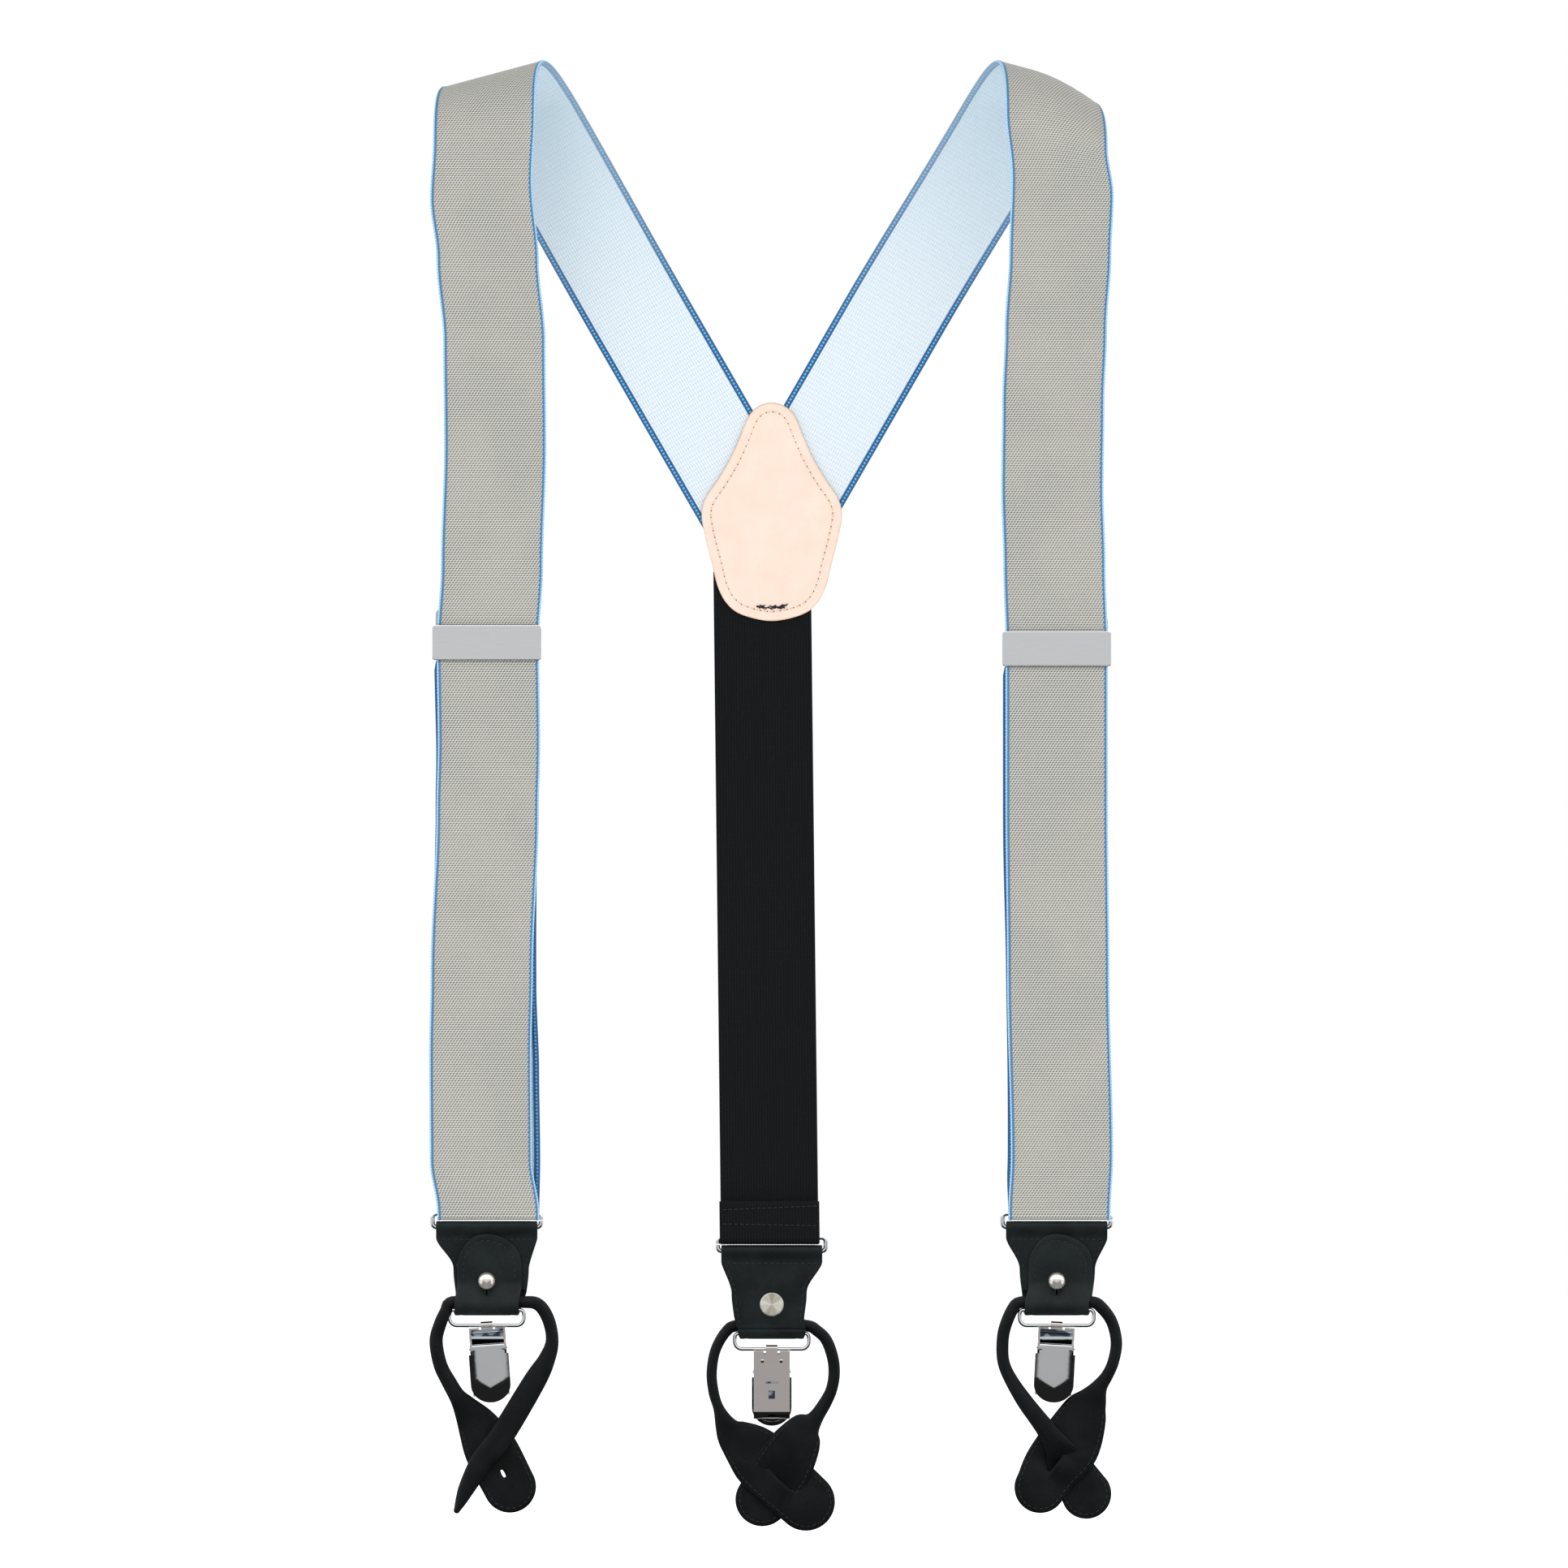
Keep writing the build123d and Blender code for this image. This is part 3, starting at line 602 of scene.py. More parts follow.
def jaw_chrome_painted_reflection():
    """Plating deep in the clip, with its reflection painted into the colour: mirrored shadow, and a
    bright painted highlight over a black painted shadow band.
    """
    m = Shader("chrome_jaw_painted_reflection", Metallic=1.0, Roughness=0.08)
    height = m.generated()[2]
    # Painted reflection: dark blue-grey and pale grey patches stand in for what the plating mirrors.
    cloud = m.ramp(m.noise(3.0, 0.0), 0.45, 0.62)
    colour = m.mix(cloud, srgb(62, 70, 82), srgb(168, 178, 188))
    # Painted highlight: a bright line high on the part, above a black painted shadow band, both placed by
    # height in the part's box.
    painted_highlight_streak = m.math("MULTIPLY", m.ramp(height, 0.815, 0.83), m.ramp(height, 0.85, 0.87, 1.0, 0.0))
    band = m.math("MULTIPLY", m.ramp(height, 0.60, 0.68), m.ramp(height, 0.80, 0.82, 1.0, 0.0))
    colour = m.mix(painted_highlight_streak, colour, srgb(240, 244, 248))
    m.set("Base Color", m.mix(band, colour, srgb(6, 7, 8)))
    m.bump(m.noise(3.0, 0.0), 0.12, 0.5)
    return m.material


def nickel():
    """Warm, slightly dulled nickel of the ball studs."""
    m = Shader("nickel", Metallic=0.75)
    m.set("Base Color", m.mix(m.noise(2.0), srgb(248, 244, 238), srgb(228, 220, 212)))
    m.set("Roughness", m.ramp(m.noise(0.6, 3.0), 0.3, 0.8, 0.16, 0.30))
    m.bump(m.noise(1.2, 2.0), 0.02, 0.6)
    return m.material


def turned_nickel_painted_highlight():
    """Flat caps, turned on a lathe, with a painted highlight: bright and dark rays fan out from the
    centre.
    """
    m = Shader("turned_nickel_painted_highlight", Metallic=0.75, Roughness=0.34)
    place = m.generated()
    x = m.math("SUBTRACT", place[0], 0.5)
    z = m.math("SUBTRACT", place[2], 0.5)
    turn = m.math("ARCTAN2", z, x)
    # Painted highlight: two bright lobes, seven rays and many fine ones stand in for the light the turned
    # face throws back; the fine rays also bump it slightly.
    painted_highlight_lobes = m.wave(m.math("ADD", turn, 0.9), math.pi)
    narrow = m.wave(turn, 2 * math.pi / 7)
    fine = m.wave(turn, 2 * math.pi / 46)
    ray = m.math("ADD", m.math("MULTIPLY", painted_highlight_lobes, 0.6), m.math("MULTIPLY", narrow, 0.25))
    ray = m.math("ADD", ray, m.math("MULTIPLY", fine, 0.15))
    m.set("Base Color", m.mix(ray, srgb(168, 163, 148), srgb(250, 248, 236)))
    m.bump(fine, 0.01, 0.5)
    return m.material


MATERIALS = {
    "outer": webbing_outer(),
    "inner": webbing_inner(),
    "elastic": elastic(),
    "tan": leather("leather_tan", srgb(237, 213, 198), srgb(242, 219, 204), 0.55, 0.7),
    "tan_edge": leather("leather_tan_edge", srgb(226, 192, 164), srgb(240, 212, 188), 0.6, 0.5),
    "black": leather("leather_black", srgb(12, 20, 21), srgb(22, 30, 31), 0.5, 0.55),
    "black_flap": leather("leather_black_flap", srgb(17, 24, 25), srgb(26, 34, 35), 0.46, 0.55),
    "black_soft": leather("leather_black_soft", srgb(5, 7, 9), srgb(14, 17, 19), 0.58, 0.5),
    "black_thread": thread("thread_black", srgb(22, 28, 29)),
    "tan_thread": thread("thread_tan", srgb(206, 176, 152)),
    "dark_thread": thread("thread_dark", srgb(16, 16, 17)),
    "chrome": chrome("chrome", (238, 240, 242)),
    "satin": satin_plate(),
    "chrome_jaw_painted_reflection": jaw_chrome_painted_reflection(),
    "chrome_lever": chrome("chrome_lever", (204, 206, 208)),
    "chrome_plate": chrome("chrome_plate", (196, 190, 186)),
    "nickel": nickel(),
    "brushed": turned_nickel_painted_highlight(),
}


# ---- webbing ------------------------------------------------------------------------
def web_profile():
    """Thin web between two rounded selvedges, and each segment's face: 0 outer, 1 inner."""
    middle = WEB_WIDTH / 2 - BEAD_R
    meet = math.asin(WEB_HALF / BEAD_R)
    turns = np.linspace(math.pi - meet, meet - math.pi, 13)
    right = [(middle + BEAD_R * math.cos(t), BEAD_R * math.sin(t)) for t in turns]
    inner_x, columns = right[0][0], 9
    left = [(-x, -n) for x, n in right]
    inside = [(x, -WEB_HALF) for x in np.linspace(inner_x, -inner_x, columns)[1:-1]]
    outside = [(x, WEB_HALF) for x in np.linspace(-inner_x, inner_x, columns)[1:-1]]
    profile = right + inside + left + outside
    faces = [0 if (a[1] + b[1]) / 2 >= 0 else 1 for a, b in zip(profile, profile[1:] + profile[:1])]
    return profile, faces


def shoulder_path(side):
    """Centre line, ruling, outward normal, length and slant of the strap over one shoulder."""
    sign = SIDES[side]
    centre = adjuster_centre(side)
    front_x = abs(centre[0])
    ruling = np.array([math.cos(RULING), 0, -math.sin(RULING)])
    rise = np.array([math.sin(RULING), 0, math.cos(RULING)])
    drift = ARCH_LENGTH * math.tan(RULING)
    end_x = front_x - drift * ruling[0]
    end_z = REAR_LINE[1] + (end_x - REAR_LINE[0]) / math.tan(REAR_ANGLE)
    base = np.array([front_x, FRONT_MID_Y + ARCH_HALF_DEPTH, end_z + drift * ruling[2]])
    rows = []

    lowest = centre[2] - 5.0
    sway = SWAY[side] + [(base[2], ARCH_SHIFT[side])]
    for z in np.linspace(lowest, base[2], int((base[2] - lowest) / ROW)):
        lean = ease((z - base[2] + 50) / 45)
        rows.append(((front_x, FRONT_MID_Y, z), (0, -1, 0), z, lean, between(sway, z)))
    along = base[2]
    turns = np.linspace(0, math.pi, 41)
    step = ARCH_LENGTH / (len(turns) - 1) / math.cos(RULING)
    for turn in turns[1:]:
        lift = rise * (ARCH_HEIGHT - ARCH_SETTLE) * math.sin(turn)
        place = base + lift - ruling * drift * turn / math.pi
        place = place - np.array([0, ARCH_HALF_DEPTH * math.cos(turn), 0])
        forward = rise * ARCH_HEIGHT * math.cos(turn) + np.array([0, ARCH_HALF_DEPTH * math.sin(turn), 0])
        along += step
        rows.append((place, unit(np.cross(ruling, forward)), along, 1.0, ARCH_SHIFT[side]))
    down = np.array([-math.sin(REAR_ANGLE), 0, -math.cos(REAR_ANGLE)])
    corner = np.array(rows[-1][0])
    length = 1.25 * end_z / math.cos(REAR_ANGLE) + 40
    for run in np.arange(ROW, length, ROW):
        shift = between([(0, ARCH_SHIFT[side]), (80, REAR_SHIFT)], run)
        rows.append((corner + down * run, (0, 1, 0), along + run, 1.0, shift))

    shifts = [(row[4], 0, 0) for row in rows]
    origins = np.array([row[0] for row in rows], float)
    normals = np.array([row[1] for row in rows], float)
    mirror = np.array([sign, 1, 1])
    slant = -sign * math.tan(RULING) * np.array([row[3] for row in rows])
    across = np.stack([np.ones(len(rows)), np.zeros(len(rows)), slant], axis=1)
    along = np.array([row[2] for row in rows])
    return origins * mirror + shifts, across, normals * mirror, along, slant, base[2]


def droop(piece, outer_x, depth=8.5, width=26.0, height=48.0):
    """Lets the outer corner of the fold over the shoulder hang down a little."""
    top = max(vertex.co.z for vertex in piece.data.vertices) / MM
    for vertex in piece.data.vertices:
        across = min(1.0, max(0.0, (vertex.co.x / MM - outer_x + width) / width))
        up = ease((vertex.co.z / MM - top + height) / height)
        vertex.co.z -= depth * MM * across**2 * up


def shoulder_webbing(side):
    origins, across, normals, along, slant, arch_z = shoulder_path(side)
    profile, faces = web_profile()
    piece = sweep("webbing_shoulder_" + side, origins, across, normals, along, slant, profile,
                  [MATERIALS["outer"], MATERIALS["inner"]], faces)
    sign = SIDES[side]
    if side == "right":
        droop(piece, abs(adjuster_centre(side)[0]) + WEB_WIDTH / 2)
    cut_and_close(piece, (sign * 0.15, 0, 0), (-sign, 0, 0))
    cut_and_close(piece, (0, 0, STRAP_END_Z), (0, 0, -1), front_limit=REAR_MID_Y - WEB_THICK)
    enter(piece, node="shoulder_strap_" + side)
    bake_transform(piece)


def lower_path(side):
    """Down the front, round the loop's bar, up behind, and over the adjuster's bar."""
    centre = adjuster_centre(side)
    bar = upper_bar(side)
    frame_bar_z = centre[2] - BAR_DROP
    r = BEND_R + WEB_THICK / 2
    return_y = bar[1] + r
    front = [(FRONT_MID_Y, z, -1, 0) for z in np.arange(centre[2] - 5.2, bar[2], -ROW)]
    bend = [(bar[1] - r * math.cos(t), bar[2] - r * math.sin(t), -math.cos(t), -math.sin(t))
            for t in np.linspace(0, math.pi, 13)]
    behind = [(return_y + EYE_R * ease((z - frame_bar_z + 6) / 6), z, 1, 0)
              for z in np.arange(bar[2] + ROW, frame_bar_z, ROW)]
    over = [(return_y + EYE_R * math.cos(t), frame_bar_z + EYE_R * math.sin(t), math.cos(t), math.sin(t))
            for t in np.linspace(0, math.pi, 11)]
    tail = [(return_y - EYE_R, frame_bar_z - drop, -1, 0) for drop in (1.5, 3.0, 4.5, 6.0)]
    rows = np.array(front + bend + behind + over + tail)
    shift = between(SWAY[side], rows[:, 1])
    returning = slice(len(front + bend), len(front + bend + behind))
    shift[returning] += between(RETURN_SHIFT[side], rows[returning, 1])
    origins = np.stack([centre[0] + shift, rows[:, 0], rows[:, 1]], axis=1)
    normals = np.stack([np.zeros(len(rows)), rows[:, 2], rows[:, 3]], axis=1)
    return origins, normals


def lower_webbing(side):
    origins, normals = lower_path(side)
    steps = np.linalg.norm(np.diff(origins[:, 1:], axis=0), axis=1)
    along = origins[0, 2] - np.concatenate([[0], np.cumsum(steps)])
    across = np.tile([1.0, 0, 0], (len(origins), 1))
    profile, faces = web_profile()
    piece = sweep("webbing_lower_" + side, origins, across, normals, along, np.zeros(len(origins)),
                  profile, [MATERIALS["outer"], MATERIALS["inner"]], faces)
    enter(piece, node="lower_strap_" + side)
    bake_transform(piece)


# ---- rear elastic -------------------------------------------------------------------
ELASTIC_WIDTH = 33.5
ELASTIC_SHIFT = (-3.3, -0.7)    # sideways, at its top and at its fold
RIB_DEPTH = 0.07
FOLD_WIDER = 1.024


def elastic_profile(width):
    """Flat band whose long ribs stand up by RIB_DEPTH on both faces."""
    half = width / 2
    columns = np.arange(-half + 0.6, half - 0.59, 0.5)
    wave = RIB_DEPTH * np.cos(2 * math.pi * columns)
    flat = ELASTIC_HALF - RIB_DEPTH
    outside = [(x, flat + w) for x, w in zip(columns, wave)]
    inside = [(x, -flat - w) for x, w in zip(columns[::-1], wave[::-1])]
    edge = [(half + 0.6 * math.cos(t) - 0.6, flat * math.sin(t)) for t in (1.0, 0.5, 0, -0.5, -1.0)]
    other = [(-x, -n) for x, n in edge]
    return outside + edge + inside + other


def rear_elastic():
    """Elastic from the patch down to the rear loop, folded round its bar and sewn."""
    _, high = box("rear_elastic")
    bar = upper_bar("rear")
    r = BEND_R + ELASTIC_HALF
    fold_top = bar[2] + 12.5
    rows = [(bar[1] + r, z, 1, 0) for z in np.arange(high[2], bar[2], -ROW)]
    rows += [(bar[1] + r * math.cos(t), bar[2] - r * math.sin(t), math.cos(t), -math.sin(t))
             for t in np.linspace(0, math.pi, 13)]
    rows += [(bar[1] - r, z, -1, 0) for z in np.linspace(bar[2] + 1, fold_top, 10)]
    rows = np.array(rows)
    none = np.zeros(len(rows))
    shift = np.interp(-rows[:, 1], (-high[2], -bar[2]), ELASTIC_SHIFT)
    origins = np.stack([shift, rows[:, 0], rows[:, 1]], axis=1)
    normals = np.stack([none, rows[:, 2], rows[:, 3]], axis=1)
    steps = np.linalg.norm(np.diff(origins, axis=0), axis=1)
    along = np.concatenate([[0], np.cumsum(steps)])
    turned = ease((along - along[-1] + 24) / 8)
    across = np.stack([1 + (FOLD_WIDER - 1) * turned, none, none], axis=1)
    profile = elastic_profile(ELASTIC_WIDTH)
    piece = sweep("elastic_rear", origins, across, normals, along, none, profile,
                  [MATERIALS["elastic"]], [0] * len(profile))
    enter(piece, node="rear_elastic")
    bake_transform(piece)
    elastic_seams(bar, r + ELASTIC_HALF, (fold_top - 2.3, bar[2] + 4.4))


def elastic_seams(bar, reach, heights):
    """Two rows of stitches across the fold, a little out of level, on both faces."""
    lines = []
    for height, tilt in zip(heights, (0.7, -0.3)):
        for out in (-1, 1):
            ends = [(ELASTIC_SHIFT[1] + x, bar[1] + out * reach, height + tilt * x / 17)
                    for x in (-16.4, 16.4)]
            lines.append(sew(ends, out, ELASTIC_STITCH))
    piece = make_piece("stitches_elastic", *merge(lines), [MATERIALS["black_thread"]])
    enter(piece, "strap_end_rear")


# ---- back patch ---------------------------------------------------------------------
# right half of the outline, (x, z)
PATCH_HALF = [
    (0, 37.6), (4.2, 36.5), (6.9, 34.3), (8.6, 31.5), (11.0, 25.5), (14.4, 18.0), (18.7, 10.8),
    (22.7, 4.8), (24.1, -1.0), (22.6, -9.6), (20.4, -18.1), (18.6, -25.4), (15.6, -31.2),
    (10.4, -35.2), (0, -37.4),
]
PATCH_RINGS = [0, 0.25, 0.5, 0.7, 0.8, 0.85, 0.872, 0.89, 0.92, 0.955, 0.975, 0.988, 0.996, 1.0]
SEAM_INSET = 3.2


def patch_outline(spacing=1.5):
    """Closed outline of the patch in (x, z), evenly spaced, from its right half."""
    left = [(-x, z) for x, z in PATCH_HALF[-2:0:-1]]
    closed = np.array(PATCH_HALF + left)
    wrapped = np.vstack([closed[-2:], closed, closed[:3]])
    path, run = smooth_path(wrapped, 0.25)
    first, last = (np.argmin(np.hypot(*(path - tip).T) + np.where(half, 0, 99))
                   for tip, half in ((closed[0], run < run[-1] / 2), (closed[0], run > run[-1] / 2)))
    count = int((run[last] - run[first]) / spacing)
    steps = np.linspace(run[first], run[last], count, endpoint=False)
    return np.stack([np.interp(steps, run, column) for column in path.T], axis=1)


def inset_line(outline, inset):
    """The outline moved inwards by a constant distance."""
    tangent = unit(np.roll(outline, -1, axis=0) - np.roll(outline, 1, axis=0))
    inward = np.stack([tangent[:, 1], -tangent[:, 0]], axis=1)
    centre = outline.mean(axis=0)
    flip = np.sign(((centre - outline) * inward).sum(axis=1, keepdims=True))
    return outline + inward * flip * inset


def patch_rings(outline, centre, half_height, thick, face_y, out):
    """Rings of points on the shown skin from its middle to its edge, then on the hidden one."""
    rings = []
    for shown in (True, False):
        for share in PATCH_RINGS:
            ring = centre + (outline - centre) * share
            gap = np.hypot(*(outline - ring).T)
            depth = thick / 2 * (1 - round_edge(gap, 0.8))
            if shown:
                pulled = 0.16 * np.exp(-((gap - SEAM_INSET) / 0.7) ** 2)
                crown = 0.12 * (1 - share**2)
                crease = 0.14 * ease(((ring[:, 1] - centre[1]) / half_height - 0.90) / 0.05)
                depth = depth + pulled - crown + crease
            else:
                depth = thick - depth
            rings.append(np.stack([ring[:, 0], face_y - out * depth, ring[:, 1]], axis=1))
    return rings


def patch(name, node, out, leather_name, edge_name):
    """One leather face of the patch: crowned, pulled in along its seam, with rounded edges."""
    low, high = box(node)
    outline = patch_outline()
    count = len(outline)
    centre = np.array([(low[0] + high[0]) / 2, (low[2] + high[2]) / 2])
    face_y = low[1] if out < 0 else high[1]
    rings = patch_rings(outline, centre, (high[2] - low[2]) / 2, high[1] - low[1], face_y, out)
    faces, used = [], []
    skin_rings = len(PATCH_RINGS)
    for skin in (0, 1):
        for i, share in enumerate(PATCH_RINGS[:-1]):
            start = (skin * skin_rings + i) * count
            faces += ring_faces(start, start + count, count)
            used += [1 if share >= 0.985 or skin == 1 else 0] * count
    faces += ring_faces((skin_rings - 1) * count, (2 * skin_rings - 1) * count, count)
    used += [1] * count
    materials = [MATERIALS[leather_name], MATERIALS[edge_name]]
    piece = make_piece(name, np.concatenate(rings), faces, materials, used)
    enter(piece, "harness", node)
    return face_y


def patch_seam(name, face_y, out, thread_name):
    """Stitches round one face of the patch; the closed line they follow."""
    line = inset_line(patch_outline(), SEAM_INSET)
    line = np.vstack([line, line[:1]])
    points = np.stack([line[:, 0], np.full(len(line), face_y - out * 0.12), line[:, 1]], axis=1)
    piece = make_piece("stitches_" + name, *sew(points, out, PATCH_STITCH), [MATERIALS[thread_name]])
    enter(piece, "harness")
    return points


def needle_holes(points):
    """Small dark thread ends between the tan patch's stitches."""
    shifted = np.roll(points[:-1], 1, axis=0)
    line = np.vstack([shifted, shifted[:1]])
    dots = sew(line, -1, NEEDLE_HOLE, sink=0.2)
    enter(make_piece("needle_holes_patch", *dots, [MATERIALS["dark_thread"]]), "harness")


def bar_tack(face_y, low_z):
    """Three clumps of crossed black stitches that lock the elastic, low on the tan face."""
    draw = random.Random(7)
    parts = []
    for clump, count in ((-3.3, 12), (0.4, 10), (3.6, 13)):
        for _ in range(count):
            x = clump + draw.uniform(-1.5, 1.5)
            z = low_z + 4.7 + 0.02 * x * x + draw.uniform(-0.45, 0.45)
            lean = draw.uniform(-0.6, 0.8)
            reach = draw.uniform(0.6, 1.2)
            ends = [(x + way * reach * math.cos(lean), face_y, z + way * reach * math.sin(lean))
                    for way in (-1, 1)]
            parts.append(sew(ends, -1, (2 * reach, 2 * reach, 0.17), sink=0.1))
    piece = make_piece("bar_tack_patch", *merge(parts), [MATERIALS["dark_thread"]])
    enter(piece, "harness")


# ---- leather ends -------------------------------------------------------------------
END_TOP_HALF = 17.35
END_NECK_HALF = 12.9
FOLD_HALF = 11.7            # at the bottom fold
WAIST_TOP, WAIST_LOW = -4.0, -14.5
ROLL_R = BEND_R + LEATHER_HALF + 0.1
SINGLE_Z = -22.0            # where the front layer stops
BODY_SEAM_IN = 1.4
BODY_SEAM_TOP = -4.2
BODY_SEAM_LEVEL = 1.13      # the thread's depth on either side of the two layers
FLAP_HALF = 11.0
FLAP_SEAM_IN = 2.3
HOLE_R = 1.75               # keyhole for the stud's neck
SLIT_HALF, SLIT_LENGTH = 0.3, 4.9
# sideways offset of the leather's neck and of the tongue's edges, against the stud
NECK_SHIFT = {"left": 1.5, "right": 0.2, "rear": 0.9}
FLAP_SHIFT = {"left": 0.9, "right": 1.3, "rear": 0.0}
FIRST_FRONT_ROW = 20        # the rows up to here lie round the fold
COLUMNS = np.sin(np.linspace(-math.pi / 2, math.pi / 2, 29))


def turned(end, vectors):
    """Vectors of an end's own frame in the model's, and the other way round."""
    return vectors * np.array([facing(end), facing(end), 1])


def place_end(end, points):
    """From an end's own frame, at its loop's lower bar, to the model's."""
    return turned(end, points) + joint_at("leather_swing_" + end)


def local(end, joint):
    """A joint's place in the end's own frame."""
    return turned(end, joint_at(joint + "_" + end) - joint_at("leather_swing_" + end))


def end_stitches(name, end, lines, body):
    """One piece of thread from (points, out) lines in an end's own frame."""
    verts, faces = merge([sew(points, out, LEATHER_STITCH) for points, out in lines])
    piece = make_piece(name + "_" + end, place_end(end, verts), faces, [MATERIALS["black_thread"]])
    enter(piece, body + "_" + end)


def end_half_width(z):
    t = np.clip((WAIST_TOP - z) / (WAIST_TOP - WAIST_LOW), 0, 1)
    drawn = 0.55 * (1 - ease(t)) + 0.45 * (1 - np.sin(t * math.pi / 2))
    taper = (END_NECK_HALF - FOLD_HALF) * ease((WAIST_LOW - z) / 13)
    return END_NECK_HALF - taper + (END_TOP_HALF - END_NECK_HALF) * drawn


def neck_shift(end, z):
    """Sideways offset of the leather at a height; none at the loop and at the fold."""
    return NECK_SHIFT[end] * ease((WAIST_TOP - z) / 9) * (1 - ease((-22 - z) / 6))


def path_normals(path):
    """Unit normals of a (y, z) path, to the left of its travel."""
    tangent = unit(np.gradient(path, axis=0))
    return np.stack([-tangent[:, 1], tangent[:, 0]], axis=1)


def ribbon(path, half_width, columns, edge_radius, end_distance=math.inf):
    """Mid points, normals and half thickness of a leather strip on a (y, z) path."""
    x = half_width[:, None] * columns[None, :]
    turn = path_normals(path)
    mid = np.stack(np.broadcast_arrays(x, path[:, :1], path[:, 1:]), axis=2)
    normal = np.stack(np.broadcast_arrays(0 * x, turn[:, :1], turn[:, 1:]), axis=2)
    distance = np.minimum(half_width[:, None] - np.abs(x), end_distance)
    half = LEATHER_HALF * (0.22 + 0.78 * round_edge(distance, edge_radius))
    return mid, normal, half


def leather_body(end):
    """Leather over the loop's bar, double down to the stud and single down to the fold."""
    fold_z = local(end, "flap_open")[2]
    y = LEATHER_HALF
    path = [(-y, z) for z in np.linspace(SINGLE_Z, -3.6, 24)]
    path += [(-y - (ROLL_R - y) * ease((z + 3.4) / 3.4), z) for z in np.linspace(-3.0, -0.4, 6)]
    path += [(-ROLL_R * math.cos(t), ROLL_R * math.sin(t)) for t in np.linspace(0, math.pi, 15)]
    path += [(y + (ROLL_R - y) * ease((z + 3.4) / 3.4), z) for z in np.linspace(-0.4, -3.0, 6)]
    path += [(y, z) for z in np.linspace(-3.6, fold_z, 30)]
    path = np.array(path)
    width = end_half_width(path[:, 1])
    mid, normal, half = ribbon(path, width, COLUMNS, 0.55)
    off_seam = np.abs(width[:, None] - np.abs(mid[..., 0]) - BODY_SEAM_IN)
    mid[..., 0] += neck_shift(end, path[:, 1])[:, None]
    half = half * (1 - 0.16 * np.exp(-(off_seam / 0.5) ** 2))
    verts, faces = slab(place_end(end, mid), turned(end, normal), half)
    piece = make_piece("leather_body_" + end, verts, faces, [MATERIALS["black"]])
    enter(piece, "leather_end_" + end, "leather_end_" + end)

    lines = []
    top_half = END_TOP_HALF - BODY_SEAM_IN
    for out, low in ((-1, fold_z + 8), (1, fold_z + 1.5)):
        level = out * BODY_SEAM_LEVEL
        for side in (-1, 1):
            z = np.linspace(BODY_SEAM_TOP, low, 30)
            x = side * (end_half_width(z) - BODY_SEAM_IN) + neck_shift(end, z)
            lines.append((np.stack([x, np.full(len(z), level), z], axis=1), out))
        lines.append(([(x, level, BODY_SEAM_TOP) for x in np.linspace(-top_half, top_half, 20)], out))
    end_stitches("stitches_end", end, lines, "leather_end")


def flap_path(end):
    """(y, z) of the tongue: round the bottom fold, up in front, flat behind the ball."""
    fold = local(end, "flap_open")
    r = -fold[1] + LEATHER_HALF
    flat_y, front_y = -1.9, fold[1] - r
    bend_z, flat_z = fold[2], -18.6
    top_z = -2.3
    arc = [(fold[1] + r * math.cos(t), fold[2] - r * math.sin(t)) for t in np.linspace(0, math.pi, 17)]
    rise = [(front_y + (flat_y - front_y) * ease((z - bend_z) / (flat_z - bend_z)), z)
            for z in np.arange(fold[2] + 0.6, flat_z, 0.6)]
    straight_end = top_z - FLAP_HALF
    straight = [(flat_y, z) for z in np.arange(flat_z, straight_end, 0.6)]
    cap = [(flat_y, straight_end + FLAP_HALF * math.sin(t))
           for t in np.linspace(0.03, math.pi / 2 - 0.04, 20)]
    return np.array(arc + rise + straight + cap), straight_end


def flap_columns():
    """Columns that leave room for the keyhole's slit at the middle."""
    slit = SLIT_HALF / FLAP_HALF
    right = np.concatenate([[slit], np.linspace(0.1, 0.9, 13), [0.93, 0.955, 0.975, 0.99, 1.0]])
    return np.concatenate([-right[::-1], right])


def flap_shift(end, x):
    """Sideways offset of the tongue's outer parts; none near the keyhole."""
    return FLAP_SHIFT[end] * ease((np.abs(x) - HOLE_R - 1.0) / 7)


def snap_to_hole(mid, kept, centre_z, radius):
    """Moves the points on the rim of a hole in the grid onto a circle."""
    padded = np.pad(kept, 1)
    corners = np.stack([padded[:-1, :-1], padded[1:, :-1], padded[:-1, 1:], padded[1:, 1:]])
    x, z = mid[..., 0], mid[..., 2] - centre_z
    distance = np.hypot(x, z)
    partly = (corners.sum(axis=0) > 0) & (corners.sum(axis=0) < 4)
    rim = partly & (distance < 1.6 * radius) & (distance > 0.2)
    rim &= ~((np.abs(x) < 0.4) & (z < 0))
    scale = np.where(rim, radius / np.maximum(distance, 0.1), 1.0)
    mid[..., 0] = x * scale
    mid[..., 2] = centre_z + z * scale


def keyhole(mid, stud_z):
    """Cells of the tongue's grid that stay, with the rim of the hole made round."""
    cell_x = (mid[:-1, :-1, 0] + mid[1:, 1:, 0]) / 2
    cell_z = (mid[:-1, :-1, 2] + mid[1:, 1:, 2]) / 2
    on_front = (np.arange(len(cell_x)) > FIRST_FRONT_ROW)[:, None]
    hole = np.hypot(cell_x, cell_z - stud_z) < HOLE_R
    slit = (np.abs(cell_x) < SLIT_HALF) & (cell_z > stud_z - SLIT_LENGTH) & (cell_z < stud_z)
    kept = ~((hole | slit) & on_front)
    snap_to_hole(mid, kept, stud_z, HOLE_R)
    return kept


